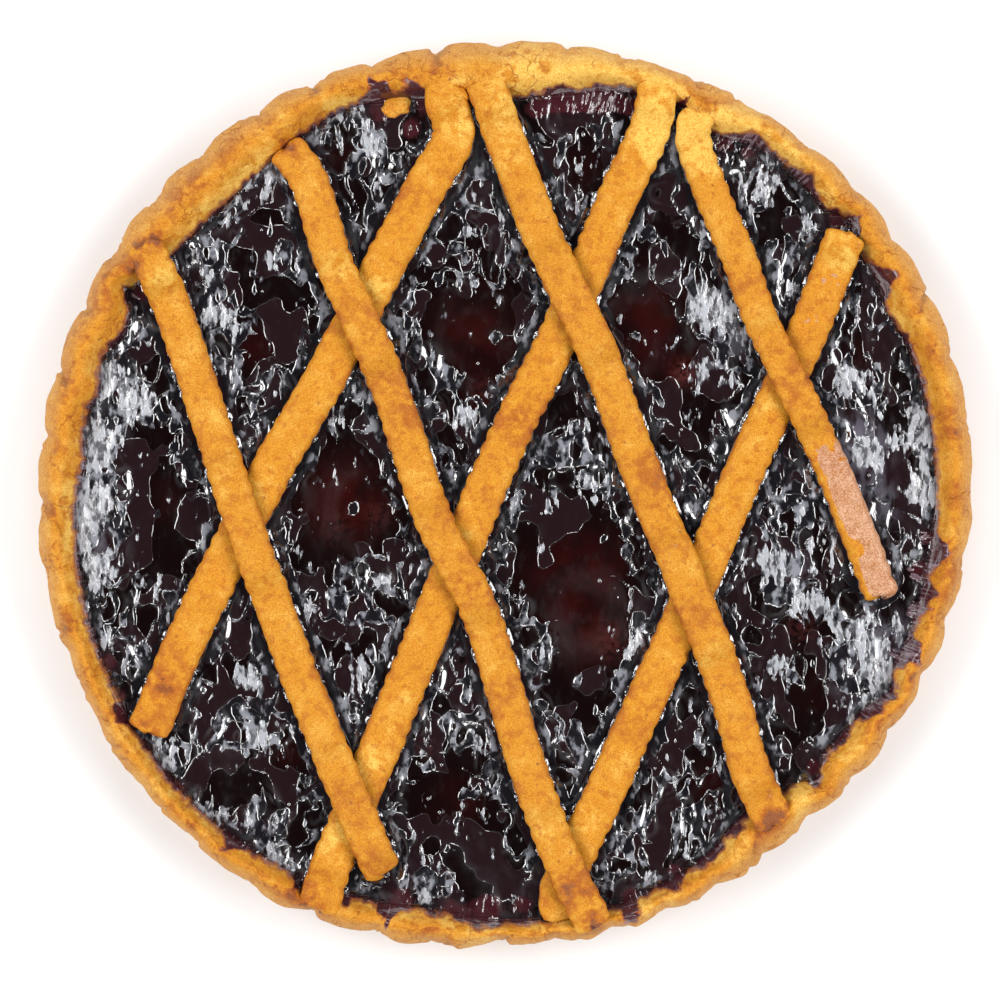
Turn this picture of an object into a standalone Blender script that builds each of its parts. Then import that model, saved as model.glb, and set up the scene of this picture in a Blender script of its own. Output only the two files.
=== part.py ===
"""Blueberry lattice tart, 26 cm across: a fluted shortcrust case, its jam and seven lattice strips.

The constants are in millimetres and degrees, the objects in metres. +Z is up, the tart stands on
the plane z = 0 and its middle is at the origin. Run it with: blender --background --python part.py
"""

import math

import bmesh
import bpy
from mathutils import Vector, geometry, noise
from mathutils.bvhtree import BVHTree

MM = 0.001
GAP = 0.3                     # clearance between pieces that touch
NAME = "blueberry_tart"

# The case: heights
FLOOR_THICKNESS = 6.0
JAM_LEVEL = 14.5
RIM_CREST = 22.3
RIM_SHOULDER = 17.0           # where the top of the rim turns into the wall
WALL_MIDDLE = 8.5
FOOT_CHAMFER = 1.0

# The case from above: a slightly oval, three-cornered round, pressed in a fluted tin
OUTER_RADIUS = 130.4
OUTLINE_WAVES = (             # (waves in a turn, height, angle of a peak)
    (1, 0.58, 163.0),
    (2, 2.5, 19.0),
    (3, 0.8, 11.0),
)
OUTLINE_LOBES = (             # (angle, half width, how far outward)
    (203.0, 9.0, -0.8),
    (239.0, 9.0, 0.9),
    (270.0, 10.0, -1.4),
    (311.0, 13.0, -1.1),
)
FOOT_RADIUS = 121.5
FLUTES = 44
FLUTE_ANGLE = -3.3            # where one flute peaks
FLUTE_DEPTH = 1.7
FLUTE_DRIFT = (250.0, 90.0, 7.0)        # flutes crowd together here: (angle, half width, shift)
SMOOTHED_FLUTES = (           # stretches where the flutes have baked nearly flat: (angle, half width)
    (70.0, 30.0),
    (208.0, 34.0),
    (2.0, 24.0),
)

# The edge of the jam: the inner foot of the rim, pushed in and out by hand
JAM_EDGE_RADIUS = 121.0
JAM_EDGE_LOBES = (            # (angle, half width, how far outward)
    (10.0, 50.0, 1.4),
    (25.0, 5.0, -1.8),
    (38.7, 3.5, 3.2),
    (50.0, 12.0, 1.6),
    (61.0, 8.0, -3.0),
    (92.0, 26.0, -9.3),
    (133.0, 32.0, -6.4),
    (151.5, 3.0, 3.6),
    (157.0, 5.0, -2.4),
    (165.5, 4.0, -2.2),
    (176.0, 5.0, -1.8),
    (206.0, 40.0, 2.8),
    (232.0, 30.0, 2.6),
    (243.5, 3.0, 3.4),
    (260.0, 8.0, -1.2),
    (306.0, 7.0, -2.4),
    (312.0, 30.0, -5.2),
    (317.5, 3.5, 3.6),
    (333.0, 3.5, 2.8),
)
JAM_EDGE_UNDERCUT = 3.5       # how much narrower the hollow is at the floor

# Relief
RIM_LUMP_SIZE = 16.0
RIM_LUMP_HEIGHT = 1.1
JAM_LUMP_SIZE = 22.0
JAM_LUMP_HEIGHT = 0.5
JAM_DOMES = (                 # (x, y, radius, height) of the clear swellings between the strips
    (-45.0, -5.0, 19.0, 1.1),
    (-7.0, 41.0, 20.0, 0.8),
    (41.0, 46.0, 22.0, 0.9),
    (24.0, -33.0, 22.0, 1.1),
)

# The lattice: each strip's width, and its middle line from its upper to its lower end, by hand
STRIP_THICKNESS = 4.5
OVER_STRIPS = (
    (10.9, ((-102.0, 71.0), (-93.2, 49.5), (-79.8, 9.0), (-68.0, -25.0), (-55.3, -59.0), (-34.3, -108.0))),
    (10.9, ((-62.5, 98.5), (-55.3, 88.0), (-48.2, 65.0), (-33.7, 32.5), (-20.3, -7.0), (-6.9, -34.0),
            (7.3, -80.5), (18.2, -108.0), (25.5, -122.0))),
    (11.4, ((-6.0, 117.5), (6.3, 84.0), (14.5, 64.5), (26.4, 39.5), (41.0, 0.5), (61.2, -50.0),
            (69.7, -78.5), (76.3, -93.5))),
    (10.0, ((53.4, 101.0), (58.6, 85.5), (66.0, 68.0), (74.2, 45.5), (92.5, 8.0), (107.3, -29.5))),
)
UNDER_STRIPS = (
    (12.0, ((-16.8, 112.0), (-14.8, 101.0), (-24.2, 84.0), (-52.8, 30.0), (-67.0, 5.5), (-88.6, -37.5),
            (-101.5, -67.5))),
    (11.7, ((43.5, 116.0), (41.2, 104.0), (32.5, 85.0), (14.7, 43.5), (1.5, 17.3), (-12.5, -16.0),
            (-32.7, -65.0), (-49.0, -105.0), (-52.5, -117.5))),
    (11.5, ((96.8, 74.0), (85.7, 45.5), (68.3, 7.3), (52.3, -31.0), (35.0, -69.5), (27.8, -86.0),
            (13.5, -113.5))),
)
PRESS_OVER = 0.16             # share of its thickness that a strip loses at a crossing
PRESS_UNDER = 0.26
PRESS_LENGTH = 14.0
END_ROUNDING = 4.0            # length over which an end rounds off
END_PRESS = 0.3               # share of the thickness lost where an end is pressed down
END_PRESS_LENGTH = 14.0
DRAPE = 5.0                   # length over which a strip rides up onto what it crosses

# Mesh fineness
SPOKES = 264
STATION = 4.6                 # distance between the sections of a strip
ROUTE_STEP = 1.0
SECTION = (                   # a strip's section: (across, up), as shares of half width and thickness
    (-0.84, 0.0),
    (0.84, 0.0),
    (1.0, 0.3),
    (0.86, 0.72),
    (0.42, 0.97),
    (-0.42, 0.97),
    (-0.86, 0.72),
    (-1.0, 0.3),
)
SMOOTH_ANGLE = 50.0

# Looks: colour (linear), roughness
CRUST_LOOK = ((0.72, 0.33, 0.07), 0.75)
OVER_LOOK = ((0.78, 0.38, 0.08), 0.7)
UNDER_LOOK = ((0.80, 0.41, 0.09), 0.7)
JAM_LOOK = ((0.02, 0.004, 0.008), 0.12)


# ---------------------------------------------------------------- plan of the tart

def lobe(distance, half_width):
    """A smooth bump: 1 at distance 0, and 0 from half_width on."""
    if abs(distance) >= half_width:
        return 0.0
    return 0.5 + 0.5 * math.cos(math.pi * distance / half_width)


def turn_between(angle, other):
    """The signed angle in degrees from other to angle, the short way round."""
    return (angle - other + 180.0) % 360.0 - 180.0


def outline_radius(angle):
    """The tart's radius at an angle, before the flutes."""
    radius = OUTER_RADIUS
    for waves, height, peak in OUTLINE_WAVES:
        radius += height * math.cos(math.radians(waves * (angle - peak)))
    for centre, half_width, shift in OUTLINE_LOBES:
        radius += shift * lobe(turn_between(angle, centre), half_width)
    return radius


def flute(angle):
    """How far the flutes stand out at an angle: round crests and narrow valleys, 0 on average."""
    centre, half_width, shift = FLUTE_DRIFT
    drifted = angle - FLUTE_ANGLE - shift * lobe(turn_between(angle, centre), half_width)
    wave = abs(math.cos(math.radians(FLUTES * drifted / 2.0)))
    depth = FLUTE_DEPTH
    for middle, reach in SMOOTHED_FLUTES:
        depth *= 1.0 - 0.6 * lobe(turn_between(angle, middle), reach)
    return depth * (wave - 2.0 / math.pi)


def outer_radius(angle):
    return outline_radius(angle) + flute(angle)


def jam_edge(angle):
    """The radius at which the jam meets the rim."""
    radius = JAM_EDGE_RADIUS
    for centre, half_width, shift in JAM_EDGE_LOBES:
        radius += shift * lobe(turn_between(angle, centre), half_width)
    return radius


def around(radius, angle):
    """The point at a radius and an angle, as x and y."""
    return radius * math.cos(math.radians(angle)), radius * math.sin(math.radians(angle))


def lumps(x, y, size, height):
    """Soft uneven relief with a grain of the given size."""
    return height * noise.noise(Vector((x / size, y / size, 0.0)))


# ---------------------------------------------------------------- case and jam

def rim_height(share, crest):
    """Height of the rim's top, from the jam (share 0) over the crest to the shoulder (share 1)."""
    if share < 0.5:
        return JAM_LEVEL + (crest - JAM_LEVEL) * math.sin(math.pi * share) ** 0.8
    return crest - (crest - RIM_SHOULDER) * (1.0 - math.cos(math.pi * (share - 0.5)))


def crust_section(angle):
    """Radius and height from the middle of the floor, over the rim and down, to the underside."""
    edge = jam_edge(angle)
    outer = outer_radius(angle)
    foot = outline_radius(angle) * FOOT_RADIUS / OUTER_RADIUS + flute(angle)
    crest_x, crest_y = around((edge + outer) / 2.0, angle)
    crest = RIM_CREST + lumps(crest_x, crest_y, RIM_LUMP_SIZE, RIM_LUMP_HEIGHT) + 0.3 * flute(angle)
    section = [(0.0, FLOOR_THICKNESS), (edge - JAM_EDGE_UNDERCUT, FLOOR_THICKNESS), (edge, JAM_LEVEL)]
    for share in (0.17, 0.45, 0.78, 1.0):
        section.append((edge + share * (outer - edge), rim_height(share, crest)))
    wall_share = WALL_MIDDLE / RIM_SHOULDER
    section += [
        (foot + wall_share * (outer - foot), WALL_MIDDLE),
        (foot, FOOT_CHAMFER),
        (foot - FOOT_CHAMFER, 0.0),
        (0.0, 0.0),
    ]
    return section


def jam_height(x, y):
    """Height of the jam's surface: a level pool with slow lumps and a few clear domes."""
    height = JAM_LEVEL + lumps(x, y, JAM_LUMP_SIZE, JAM_LUMP_HEIGHT)
    for dome_x, dome_y, radius, rise in JAM_DOMES:
        height += rise * lobe(math.hypot(x - dome_x, y - dome_y), radius)
    return height


def jam_section(angle):
    """Radius and height of the jam from its top centre, out to the rim and back underneath."""
    edge = jam_edge(angle) - GAP
    section = []
    for share in (0.0, 0.3, 0.5, 0.7, 0.87):
        x, y = around(edge * share, angle)
        section.append((edge * share, jam_height(x, y)))
    section += [
        (edge, JAM_LEVEL),
        (edge - JAM_EDGE_UNDERCUT, FLOOR_THICKNESS + GAP),
        (0.0, FLOOR_THICKNESS + GAP),
    ]
    return section


def turned_solid(name, section_at):
    """Turn the section of angle 0 about Z, then give each spoke the section of its own angle."""
    profile = [Vector((radius * MM, 0.0, height * MM)) for radius, height in section_at(0.0)]
    mesh = bpy.data.meshes.new(name)
    mesh.from_pydata(profile, [(i, i + 1) for i in range(len(profile) - 1)], [])
    solid = bpy.data.objects.new(name, mesh)
    bpy.context.scene.collection.objects.link(solid)
    screw = solid.modifiers.new("turn", "SCREW")
    screw.steps = SPOKES
    screw.render_steps = SPOKES
    screw.use_merge_vertices = True
    screw.merge_threshold = 0.01 * MM
    make_real(solid)
    sections = [section_at(spoke * 360.0 / SPOKES) for spoke in range(SPOKES)]
    for vertex in solid.data.vertices:
        x, y, z = vertex.co
        flat = Vector((math.hypot(x, y), 0.0, z))
        station = min(range(len(profile)), key=lambda i: (profile[i] - flat).length)
        spoke = round(math.degrees(math.atan2(y, x)) * SPOKES / 360.0) % SPOKES
        radius, height = sections[spoke][station]
        x, y = around(radius, spoke * 360.0 / SPOKES)
        vertex.co = (x * MM, y * MM, height * MM)
    return solid


def make_real(solid):
    """Put the object's modifiers into its mesh."""
    depsgraph = bpy.context.evaluated_depsgraph_get()
    mesh = bpy.data.meshes.new_from_object(solid.evaluated_get(depsgraph))
    solid.modifiers.clear()
    solid.data = mesh


# ---------------------------------------------------------------- lattice strips

def strip_route(points):
    """Evenly spaced points along a smooth line through the given ones (Catmull-Rom)."""
    knots = [Vector(point) for point in points]
    knots = [2.0 * knots[0] - knots[1]] + knots + [2.0 * knots[-1] - knots[-2]]
    curve = []
    for before, start, end, after in zip(knots, knots[1:], knots[2:], knots[3:]):
        steps = max(2, round((end - start).length))
        for step in range(steps):
            t = step / steps
            curve.append(0.5 * (2.0 * start + (end - before) * t
                                + (2.0 * before - 5.0 * start + 4.0 * end - after) * t ** 2
                                + (3.0 * start - before - 3.0 * end + after) * t ** 3))
    curve.append(knots[-2])
    distances = [0.0]
    for start, end in zip(curve, curve[1:]):
        distances.append(distances[-1] + (end - start).length)
    count = round(distances[-1] / ROUTE_STEP)
    route = []
    segment = 0
    for index in range(count + 1):
        wanted = min(index * distances[-1] / count, distances[-1])
        while segment < len(curve) - 2 and distances[segment + 1] < wanted:
            segment += 1
        share = (wanted - distances[segment]) / (distances[segment + 1] - distances[segment])
        route.append(curve[segment].lerp(curve[segment + 1], share))
    return route


def directions(route):
    """The unit direction of the route at each of its points."""
    last = len(route) - 1
    return [(route[min(i + 1, last)] - route[max(i - 1, 0)]).normalized() for i in range(len(route))]


def crossings(route, others):
    """Where other routes cross this one, as indices along it."""
    found = []
    for other in others:
        for index, (start, end) in enumerate(zip(route, route[1:])):
            for other_start, other_end in zip(other, other[1:]):
                if geometry.intersect_line_line_2d(start, end, other_start, other_end):
                    found.append(index)
    return found


def resting_heights(route, half_width, below):
    """The height at which a strip lies on the solids below it, easing up onto each obstacle."""
    trees = [BVHTree.FromPolygons([v.co for v in solid.data.vertices],
                                  [p.vertices for p in solid.data.polygons]) for solid in below]
    touched = []
    for point, ahead in zip(route, directions(route)):
        across = Vector((-ahead.y, ahead.x))
        tops = []
        for share in (-1.0, -0.5, 0.0, 0.5, 1.0):
            sample = point + across * share * half_width
            above = Vector((sample.x * MM, sample.y * MM, 1.0))
            hits = [tree.ray_cast(above, Vector((0.0, 0.0, -1.0)))[0] for tree in trees]
            tops += [hit.z / MM for hit in hits if hit]
        touched.append(max(tops))
    reach = round(DRAPE / ROUTE_STEP)
    count = len(route)
    lifted = [max(touched[max(0, i - reach):i + reach + 1]) for i in range(count)]
    eased = []
    for i in range(count):
        near = range(max(0, i - reach), min(count, i + reach + 1))
        weights = [1.0 + math.cos(math.pi * (j - i) / (reach + 1)) for j in near]
        eased.append(sum(lifted[j] * w for j, w in zip(near, weights)) / sum(weights) + GAP)
    return eased


def strip_rings(route, width, heights, crossed, press):
    """The strip's sections from end to end, each a ring of points in millimetres."""
    aheads = directions(route)
    last = len(route) - 1
    count = round(last * ROUTE_STEP / STATION)
    stations = set([round(i * last / count) for i in range(count + 1)] + [1, 2, last - 2, last - 1])
    rings = []
    for index in sorted(stations):
        to_end = min(index, last - index) * ROUTE_STEP
        thickness = STRIP_THICKNESS * (1.0 - END_PRESS * lobe(to_end, END_PRESS_LENGTH))
        for crossing in crossed:
            thickness *= 1.0 - press * lobe((index - crossing) * ROUTE_STEP, PRESS_LENGTH)
        roundness = math.sqrt(1.0 - 0.75 * max(0.0, 1.0 - to_end / END_ROUNDING) ** 2)
        across = Vector((-aheads[index].y, aheads[index].x))
        ring = []
        for share, rise in SECTION:
            place = route[index] + across * share * roundness * width / 2.0
            ring.append((place.x, place.y, heights[index] + rise * thickness * roundness))
        rings.append(ring)
    return rings


def lofted_solid(name, rings):
    """A closed skin drawn over rings of equal length, with a flat cap at each end."""
    bm = bmesh.new()
    loops = [[bm.verts.new(Vector(point) * MM) for point in ring] for ring in rings]
    for ring, following in zip(loops, loops[1:]):
        for i in range(len(ring)):
            j = (i + 1) % len(ring)
            bm.faces.new((ring[i], ring[j], following[j], following[i]))
    bm.faces.new(loops[0])
    bm.faces.new(loops[-1])
    bmesh.ops.recalc_face_normals(bm, faces=bm.faces[:])
    mesh = bpy.data.meshes.new(name)
    bm.to_mesh(mesh)
    bm.free()
    solid = bpy.data.objects.new(name, mesh)
    bpy.context.scene.collection.objects.link(solid)
    return solid


def strips(prefix, widths, routes, others, press, below):
    """One layer of the lattice, laid on the solids below it."""
    layer = []
    for number, (width, route) in enumerate(zip(widths, routes), start=1):
        heights = resting_heights(route, width / 2.0 + GAP, below)
        rings = strip_rings(route, width, heights, crossings(route, others), press)
        layer.append(lofted_solid(f"{prefix}_{number}", rings))
    return layer


# ---------------------------------------------------------------- looks and assembly

def material(name, look):
    """A plain coloured surface."""
    colour, roughness = look
    surface = bpy.data.materials.new(name)
    surface.use_nodes = True
    shader = surface.node_tree.nodes["Principled BSDF"]
    shader.inputs["Base Color"].default_value = (*colour, 1.0)
    shader.inputs["Roughness"].default_value = roughness
    shader.inputs["Metallic"].default_value = 0.0
    return surface


def finish(solid, look, parts, holder):
    """Shade, colour, file and parent one finished piece."""
    solid.data.shade_smooth()
    solid.data.set_sharp_from_angle(angle=math.radians(SMOOTH_ANGLE))
    solid.data.materials.clear()
    solid.data.materials.append(material(solid.name, look))
    for collection in list(solid.users_collection):
        collection.objects.unlink(solid)
    parts.objects.link(solid)
    solid.parent = holder


def build_tart():
    for old in list(bpy.data.objects):
        bpy.data.objects.remove(old)
    parts = bpy.data.collections.new(NAME)
    bpy.context.scene.collection.children.link(parts)
    holder = bpy.data.objects.new(NAME, None)
    parts.objects.link(holder)

    crust = turned_solid("crust", crust_section)
    jam = turned_solid("jam", jam_section)
    under_widths, under_routes = zip(*[(width, strip_route(points)) for width, points in UNDER_STRIPS])
    over_widths, over_routes = zip(*[(width, strip_route(points)) for width, points in OVER_STRIPS])
    under = strips("under_strip", under_widths, under_routes, over_routes, PRESS_UNDER, [crust, jam])
    over = strips("over_strip", over_widths, over_routes, under_routes, PRESS_OVER,
                  [crust, jam] + under)

    finish(crust, CRUST_LOOK, parts, holder)
    finish(jam, JAM_LOOK, parts, holder)
    for strip in under:
        finish(strip, UNDER_LOOK, parts, holder)
    for strip in over:
        finish(strip, OVER_LOOK, parts, holder)


build_tart()
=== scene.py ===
# %% [markdown]
# # A blueberry lattice tart
# The tart is a fluted shortcrust case, filled with blueberry jam, under seven strips of the same
# dough. Its plain solids come packed as a fixed frame. This file models each piece again with the
# fine form that the solids leave out, gives it a finish, and lights it.
#
# The frame is loaded first, because every piece takes its place from it. All sizes below are in
# millimetres and degrees, as a baker would note them, and a mesh is scaled to metres at the end.

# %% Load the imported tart
import math
import random

import bmesh
import bpy
from mathutils import Matrix, Vector, geometry, noise
from mathutils.bvhtree import BVHTree
from mathutils.kdtree import KDTree


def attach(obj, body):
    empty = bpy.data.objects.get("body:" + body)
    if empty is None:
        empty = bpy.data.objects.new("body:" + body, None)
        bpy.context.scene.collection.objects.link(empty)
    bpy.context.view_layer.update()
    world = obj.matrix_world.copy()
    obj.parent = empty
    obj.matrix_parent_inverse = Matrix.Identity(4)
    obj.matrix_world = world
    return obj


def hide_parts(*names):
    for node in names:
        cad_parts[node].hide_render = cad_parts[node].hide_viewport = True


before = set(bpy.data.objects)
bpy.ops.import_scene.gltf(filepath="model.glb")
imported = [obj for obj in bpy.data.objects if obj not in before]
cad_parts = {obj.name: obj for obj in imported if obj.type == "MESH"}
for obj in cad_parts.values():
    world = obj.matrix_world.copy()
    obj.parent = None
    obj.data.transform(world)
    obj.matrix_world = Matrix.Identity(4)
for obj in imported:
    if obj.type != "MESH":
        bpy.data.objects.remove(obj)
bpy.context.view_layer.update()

MM = 0.001

# %% [markdown]
# ## Camera
# The tart is seen from straight above, so the camera looks down and isn't turned. It could stand
# close with a wide lens, but then the rim would hide its own wall on one side. A long lens from
# more than a metre away keeps the outline as it is in plan.

# %% Camera, straight above the tart
CAMERA_HEIGHT = 1200.0
CAMERA_PLACE = (-1.42, -1.70)
LEVEL_IN_FOCUS = 18.0          # the height at which the picture is VIEW_WIDTH wide
VIEW_WIDTH = 283.5
SENSOR = 36.0

camera_data = bpy.data.cameras.new("tart_camera")
camera_data.sensor_width = SENSOR
camera_data.lens = SENSOR * (CAMERA_HEIGHT - LEVEL_IN_FOCUS) / VIEW_WIDTH
camera = bpy.data.objects.new("tart_camera", camera_data)
camera.location = (CAMERA_PLACE[0] * MM, CAMERA_PLACE[1] * MM, CAMERA_HEIGHT * MM)
bpy.context.scene.collection.objects.link(camera)
bpy.context.scene.camera = camera
print("lens:", round(camera_data.lens, 1), "mm")

# %% [markdown]
# ## Small helpers for nodes
# A material is a tree of nodes, and writing out each node and link takes many lines. Here the
# output of a node is wrapped as a term, which can be used in sums like a number: each sign adds a
# Math node. One helper adds any node and fills its sockets, where a number or colour is set and a
# term is linked.

# %% Helpers that add nodes
class Term:
    """The output of a node, which can be used in sums like a number."""

    def __init__(self, node, output=0):
        self.tree = node.id_data
        self.socket = node.outputs[output]

    def __add__(self, other):
        return calculate("ADD", self, other)

    def __sub__(self, other):
        return calculate("SUBTRACT", self, other)

    def __mul__(self, other):
        return calculate("MULTIPLY", self, other)

    def __truediv__(self, other):
        return calculate("DIVIDE", self, other)


def tree_of(*values):
    """The node tree that the terms among some values belong to."""
    return next(value.tree for value in values if isinstance(value, Term))


def fill_sockets(node, sockets):
    """Set or link inputs of a node, given by name or number."""
    for key, value in sockets.items():
        if isinstance(value, Term):
            node.id_data.links.new(value.socket, node.inputs[key])
        else:
            node.inputs[key].default_value = value


def add_node(tree, kind, sockets=None, **settings):
    """A new node with its settings made and its sockets filled."""
    node = tree.nodes.new(kind)
    for name, value in settings.items():
        setattr(node, name, value)
    fill_sockets(node, sockets or {})
    return node


def calculate(operation, first, second=0.0, clamp=False):
    """The result of a Math node."""
    return Term(add_node(tree_of(first, second), "ShaderNodeMath", {0: first, 1: second},
                         operation=operation, use_clamp=clamp))


def ramp_up(value, low, high, bottom=0.0, top=1.0):
    """A value eased from bottom to top while the given one goes from low to high."""
    return Term(add_node(value.tree, "ShaderNodeMapRange",
                         {0: value, 1: low, 2: high, 3: bottom, 4: top},
                         interpolation_type="SMOOTHSTEP"))


def mix_colour(factor, first, second, how="MIX"):
    """Two colours mixed; how is the Mix node's blend type."""
    return Term(add_node(tree_of(factor, first, second), "ShaderNodeMix",
                         {0: factor, 6: first, 7: second}, data_type="RGBA", blend_type=how), 2)


def cloud(where, size, detail=2.0, stretch=(1.0, 1.0, 1.0)):
    """Noise with lumps about size millimetres across, longer where stretch is over 1."""
    squeeze = [1.0 / share for share in stretch]
    squeezed = Term(add_node(where.tree, "ShaderNodeVectorMath", {0: where, 1: squeeze},
                             operation="MULTIPLY"))
    return Term(add_node(where.tree, "ShaderNodeTexNoise",
                         {"Vector": squeezed, "Scale": 1.0 / (size * MM), "Detail": detail}))


def cells(where, scale):
    """Scattered cells: the distance to the nearest middle, and a random number for each cell."""
    pattern = add_node(where.tree, "ShaderNodeTexVoronoi", {"Vector": where, "Scale": scale})
    draw = add_node(where.tree, "ShaderNodeSeparateColor", {0: Term(pattern, "Color")})
    return Term(pattern, "Distance"), Term(draw)


# %% [markdown]
# ## Studio
# A jam surface is a dark mirror: what shows on it is the room. A single lamp would leave it black
# with one hot spot. The room here is dim right overhead, so flat jam stays dark, and brighter
# further down, so slopes turn grey. Four large soft boxes, well off to the sides, draw the white
# lines: a wrinkle is bent so sharply that even a wide box shrinks to a thread on it. The dough has
# no gloss and simply adds all of it up.

# %% A pale room, dim overhead
world = bpy.data.worlds.new("studio_room")
world.use_nodes = True
bpy.context.scene.world = world
room = world.node_tree
room.nodes.clear()
direction = Term(add_node(room, "ShaderNodeTexCoord"), "Generated")
upward = Term(add_node(room, "ShaderNodeSeparateXYZ", {0: direction}), 2)
room_ramp = add_node(room, "ShaderNodeValToRGB", {0: upward})
ROOM_BRIGHTNESS = (            # (how far up: 1 is straight overhead, brightness)
    (0.0, 0.30), (0.55, 0.28), (0.88, 0.20), (0.955, 0.08), (0.99, 0.016), (1.0, 0.010),
)
while len(room_ramp.color_ramp.elements) < len(ROOM_BRIGHTNESS):
    room_ramp.color_ramp.elements.new(0.5)
for element, (height, brightness) in zip(room_ramp.color_ramp.elements, ROOM_BRIGHTNESS):
    element.position = height
    element.color = (brightness * 0.98, brightness, brightness * 1.04, 1.0)
room_light = add_node(room, "ShaderNodeBackground", {0: Term(room_ramp), 1: 1.0})
add_node(room, "ShaderNodeOutputWorld", {0: Term(room_light)})
print("room brightness:", ROOM_BRIGHTNESS[0][1], "low down,", ROOM_BRIGHTNESS[-1][1], "overhead")

# %% Four soft boxes and a pale floor
SOFT_BOX_DISTANCE = 2.3        # metres
SOFT_BOXES = (                 # (compass angle, angle off straight up, length, height, brightness)
    (4.0, 45.0, 2.0, 1.05, 4.6),
    (176.0, 45.0, 2.0, 1.05, 4.6),
    (88.0, 47.0, 1.4, 0.7, 3.8),
    (268.0, 47.0, 1.4, 0.7, 3.8),
)
WATTS_PER_SQUARE = 4.0         # per square metre of a box, at brightness 1
for number, (compass, off_zenith, length, height, brightness) in enumerate(SOFT_BOXES, start=1):
    lamp = bpy.data.lights.new(f"soft_box_{number}", "AREA")
    lamp.shape = "RECTANGLE"
    lamp.size, lamp.size_y = length, height
    lamp.energy = WATTS_PER_SQUARE * length * height * brightness
    box = bpy.data.objects.new(lamp.name, lamp)
    turn = Matrix.Rotation(math.radians(compass + 90.0), 4, "Z") @ Matrix.Rotation(
        math.radians(off_zenith), 4, "X")
    box.matrix_world = turn @ Matrix.Translation((0.0, 0.0, SOFT_BOX_DISTANCE))
    box.visible_camera = False
    bpy.context.scene.collection.objects.link(box)

bpy.context.scene.view_settings.view_transform = "Standard"

FLOOR_REACH = 3.0              # metres
FLOOR_GAP = 0.2                # keeps the floor's face off the tart's underside
floor_mesh = bmesh.new()
bmesh.ops.create_grid(floor_mesh, x_segments=1, y_segments=1, size=FLOOR_REACH)
floor_data = bpy.data.meshes.new("floor")
floor_mesh.to_mesh(floor_data)
floor_mesh.free()
floor = bpy.data.objects.new("floor", floor_data)
floor.location.z = -FLOOR_GAP * MM
bpy.context.scene.collection.objects.link(floor)
floor_paint = bpy.data.materials.new("pale_floor")
floor_paint.use_nodes = True
fill_sockets(floor_paint.node_tree.nodes["Principled BSDF"],
             {"Base Color": (0.9, 0.9, 0.9, 1.0), "Roughness": 0.9})
floor_data.materials.append(floor_paint)
print("soft boxes:", len(SOFT_BOXES))

# %% [markdown]
# ## The plan of the tart
# The tart was pressed by hand in a fluted tin, so nothing on it is a true circle. Its plan is a
# circle with slow waves, narrow bulges and dents, and the flutes of the tin. These are the same
# named values and functions that shaped the solids, so the fine pieces land on them exactly.

# %% Outline of the case
OUTER_RADIUS = 130.4
OUTLINE_WAVES = ((1, 0.58, 163), (2, 2.5, 19), (3, 0.8, 11))            # (waves, height, a peak)
OUTLINE_LOBES = (              # (angle, half width, how far outward)
    (203, 9, -0.8), (239, 9, 0.9), (270, 10, -1.4), (311, 13, -1.1),
)
FLUTES = 44
FLUTE_ANGLE = -3.3
FLUTE_DEPTH = 1.7
FLUTE_DRIFT = (250, 90, 7)     # flutes crowd together here: (angle, half width, shift)
SMOOTHED_FLUTES = ((70, 30), (208, 34), (2, 24))        # baked nearly flat: (angle, half width)


def lobe(distance, half_width):
    """A smooth bump: 1 at distance 0, and 0 from half_width on."""
    if abs(distance) >= half_width:
        return 0.0
    return 0.5 + 0.5 * math.cos(math.pi * distance / half_width)


def ease(value):
    """0 below 0, 1 above 1, and a smooth rise between them."""
    value = min(1.0, max(0.0, value))
    return value * value * (3.0 - 2.0 * value)


def turn_between(angle, other):
    """The signed angle in degrees from other to angle, the short way round."""
    return (angle - other + 180.0) % 360.0 - 180.0


def outline_radius(angle):
    """The tart's radius at an angle, before the flutes."""
    radius = OUTER_RADIUS
    for waves, height, peak in OUTLINE_WAVES:
        radius += height * math.cos(math.radians(waves * (angle - peak)))
    for centre, half_width, shift in OUTLINE_LOBES:
        radius += shift * lobe(turn_between(angle, centre), half_width)
    return radius


def flute_wave(angle):
    """1 on the crest of a flute and 0 in the crease between two."""
    centre, half_width, shift = FLUTE_DRIFT
    drifted = angle - FLUTE_ANGLE - shift * lobe(turn_between(angle, centre), half_width)
    return abs(math.cos(math.radians(FLUTES * drifted / 2.0)))


def flute_depth(angle):
    """How deep the flutes are at an angle."""
    depth = FLUTE_DEPTH
    for middle, reach in SMOOTHED_FLUTES:
        depth *= 1.0 - 0.6 * lobe(turn_between(angle, middle), reach)
    return depth


def flute(angle):
    """How far the flutes stand out at an angle, 0 on average."""
    return flute_depth(angle) * (flute_wave(angle) - 2.0 / math.pi)


def around(radius, angle):
    """The point at a radius and an angle, as x and y."""
    return radius * math.cos(math.radians(angle)), radius * math.sin(math.radians(angle))


def lumps(x, y, size, height, seed=0.0):
    """Soft uneven relief with a grain of the given size; each seed gives other lumps."""
    return height * noise.noise((x / size, y / size, seed))


print("flute depth:", round(min(map(flute_depth, range(360))), 2), "to", FLUTE_DEPTH)

# %% The edge of the jam
JAM_EDGE_RADIUS = 121.0
JAM_EDGE_LOBES = (             # (angle, half width, how far outward)
    (10, 50, 1.4), (25, 5, -1.8), (38.7, 3.5, 3.2), (50, 12, 1.6), (61, 8, -3), (92, 26, -9.3),
    (133, 32, -6.4), (151.5, 3, 3.6), (157, 5, -2.4), (165.5, 4, -2.2), (176, 5, -1.8),
    (206, 40, 2.8), (232, 30, 2.6), (243.5, 3, 3.4), (260, 8, -1.2), (306, 7, -2.4),
    (312, 30, -5.2), (317.5, 3.5, 3.6), (333, 3.5, 2.8),
)
EDGE_STEPS = 1440


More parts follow.
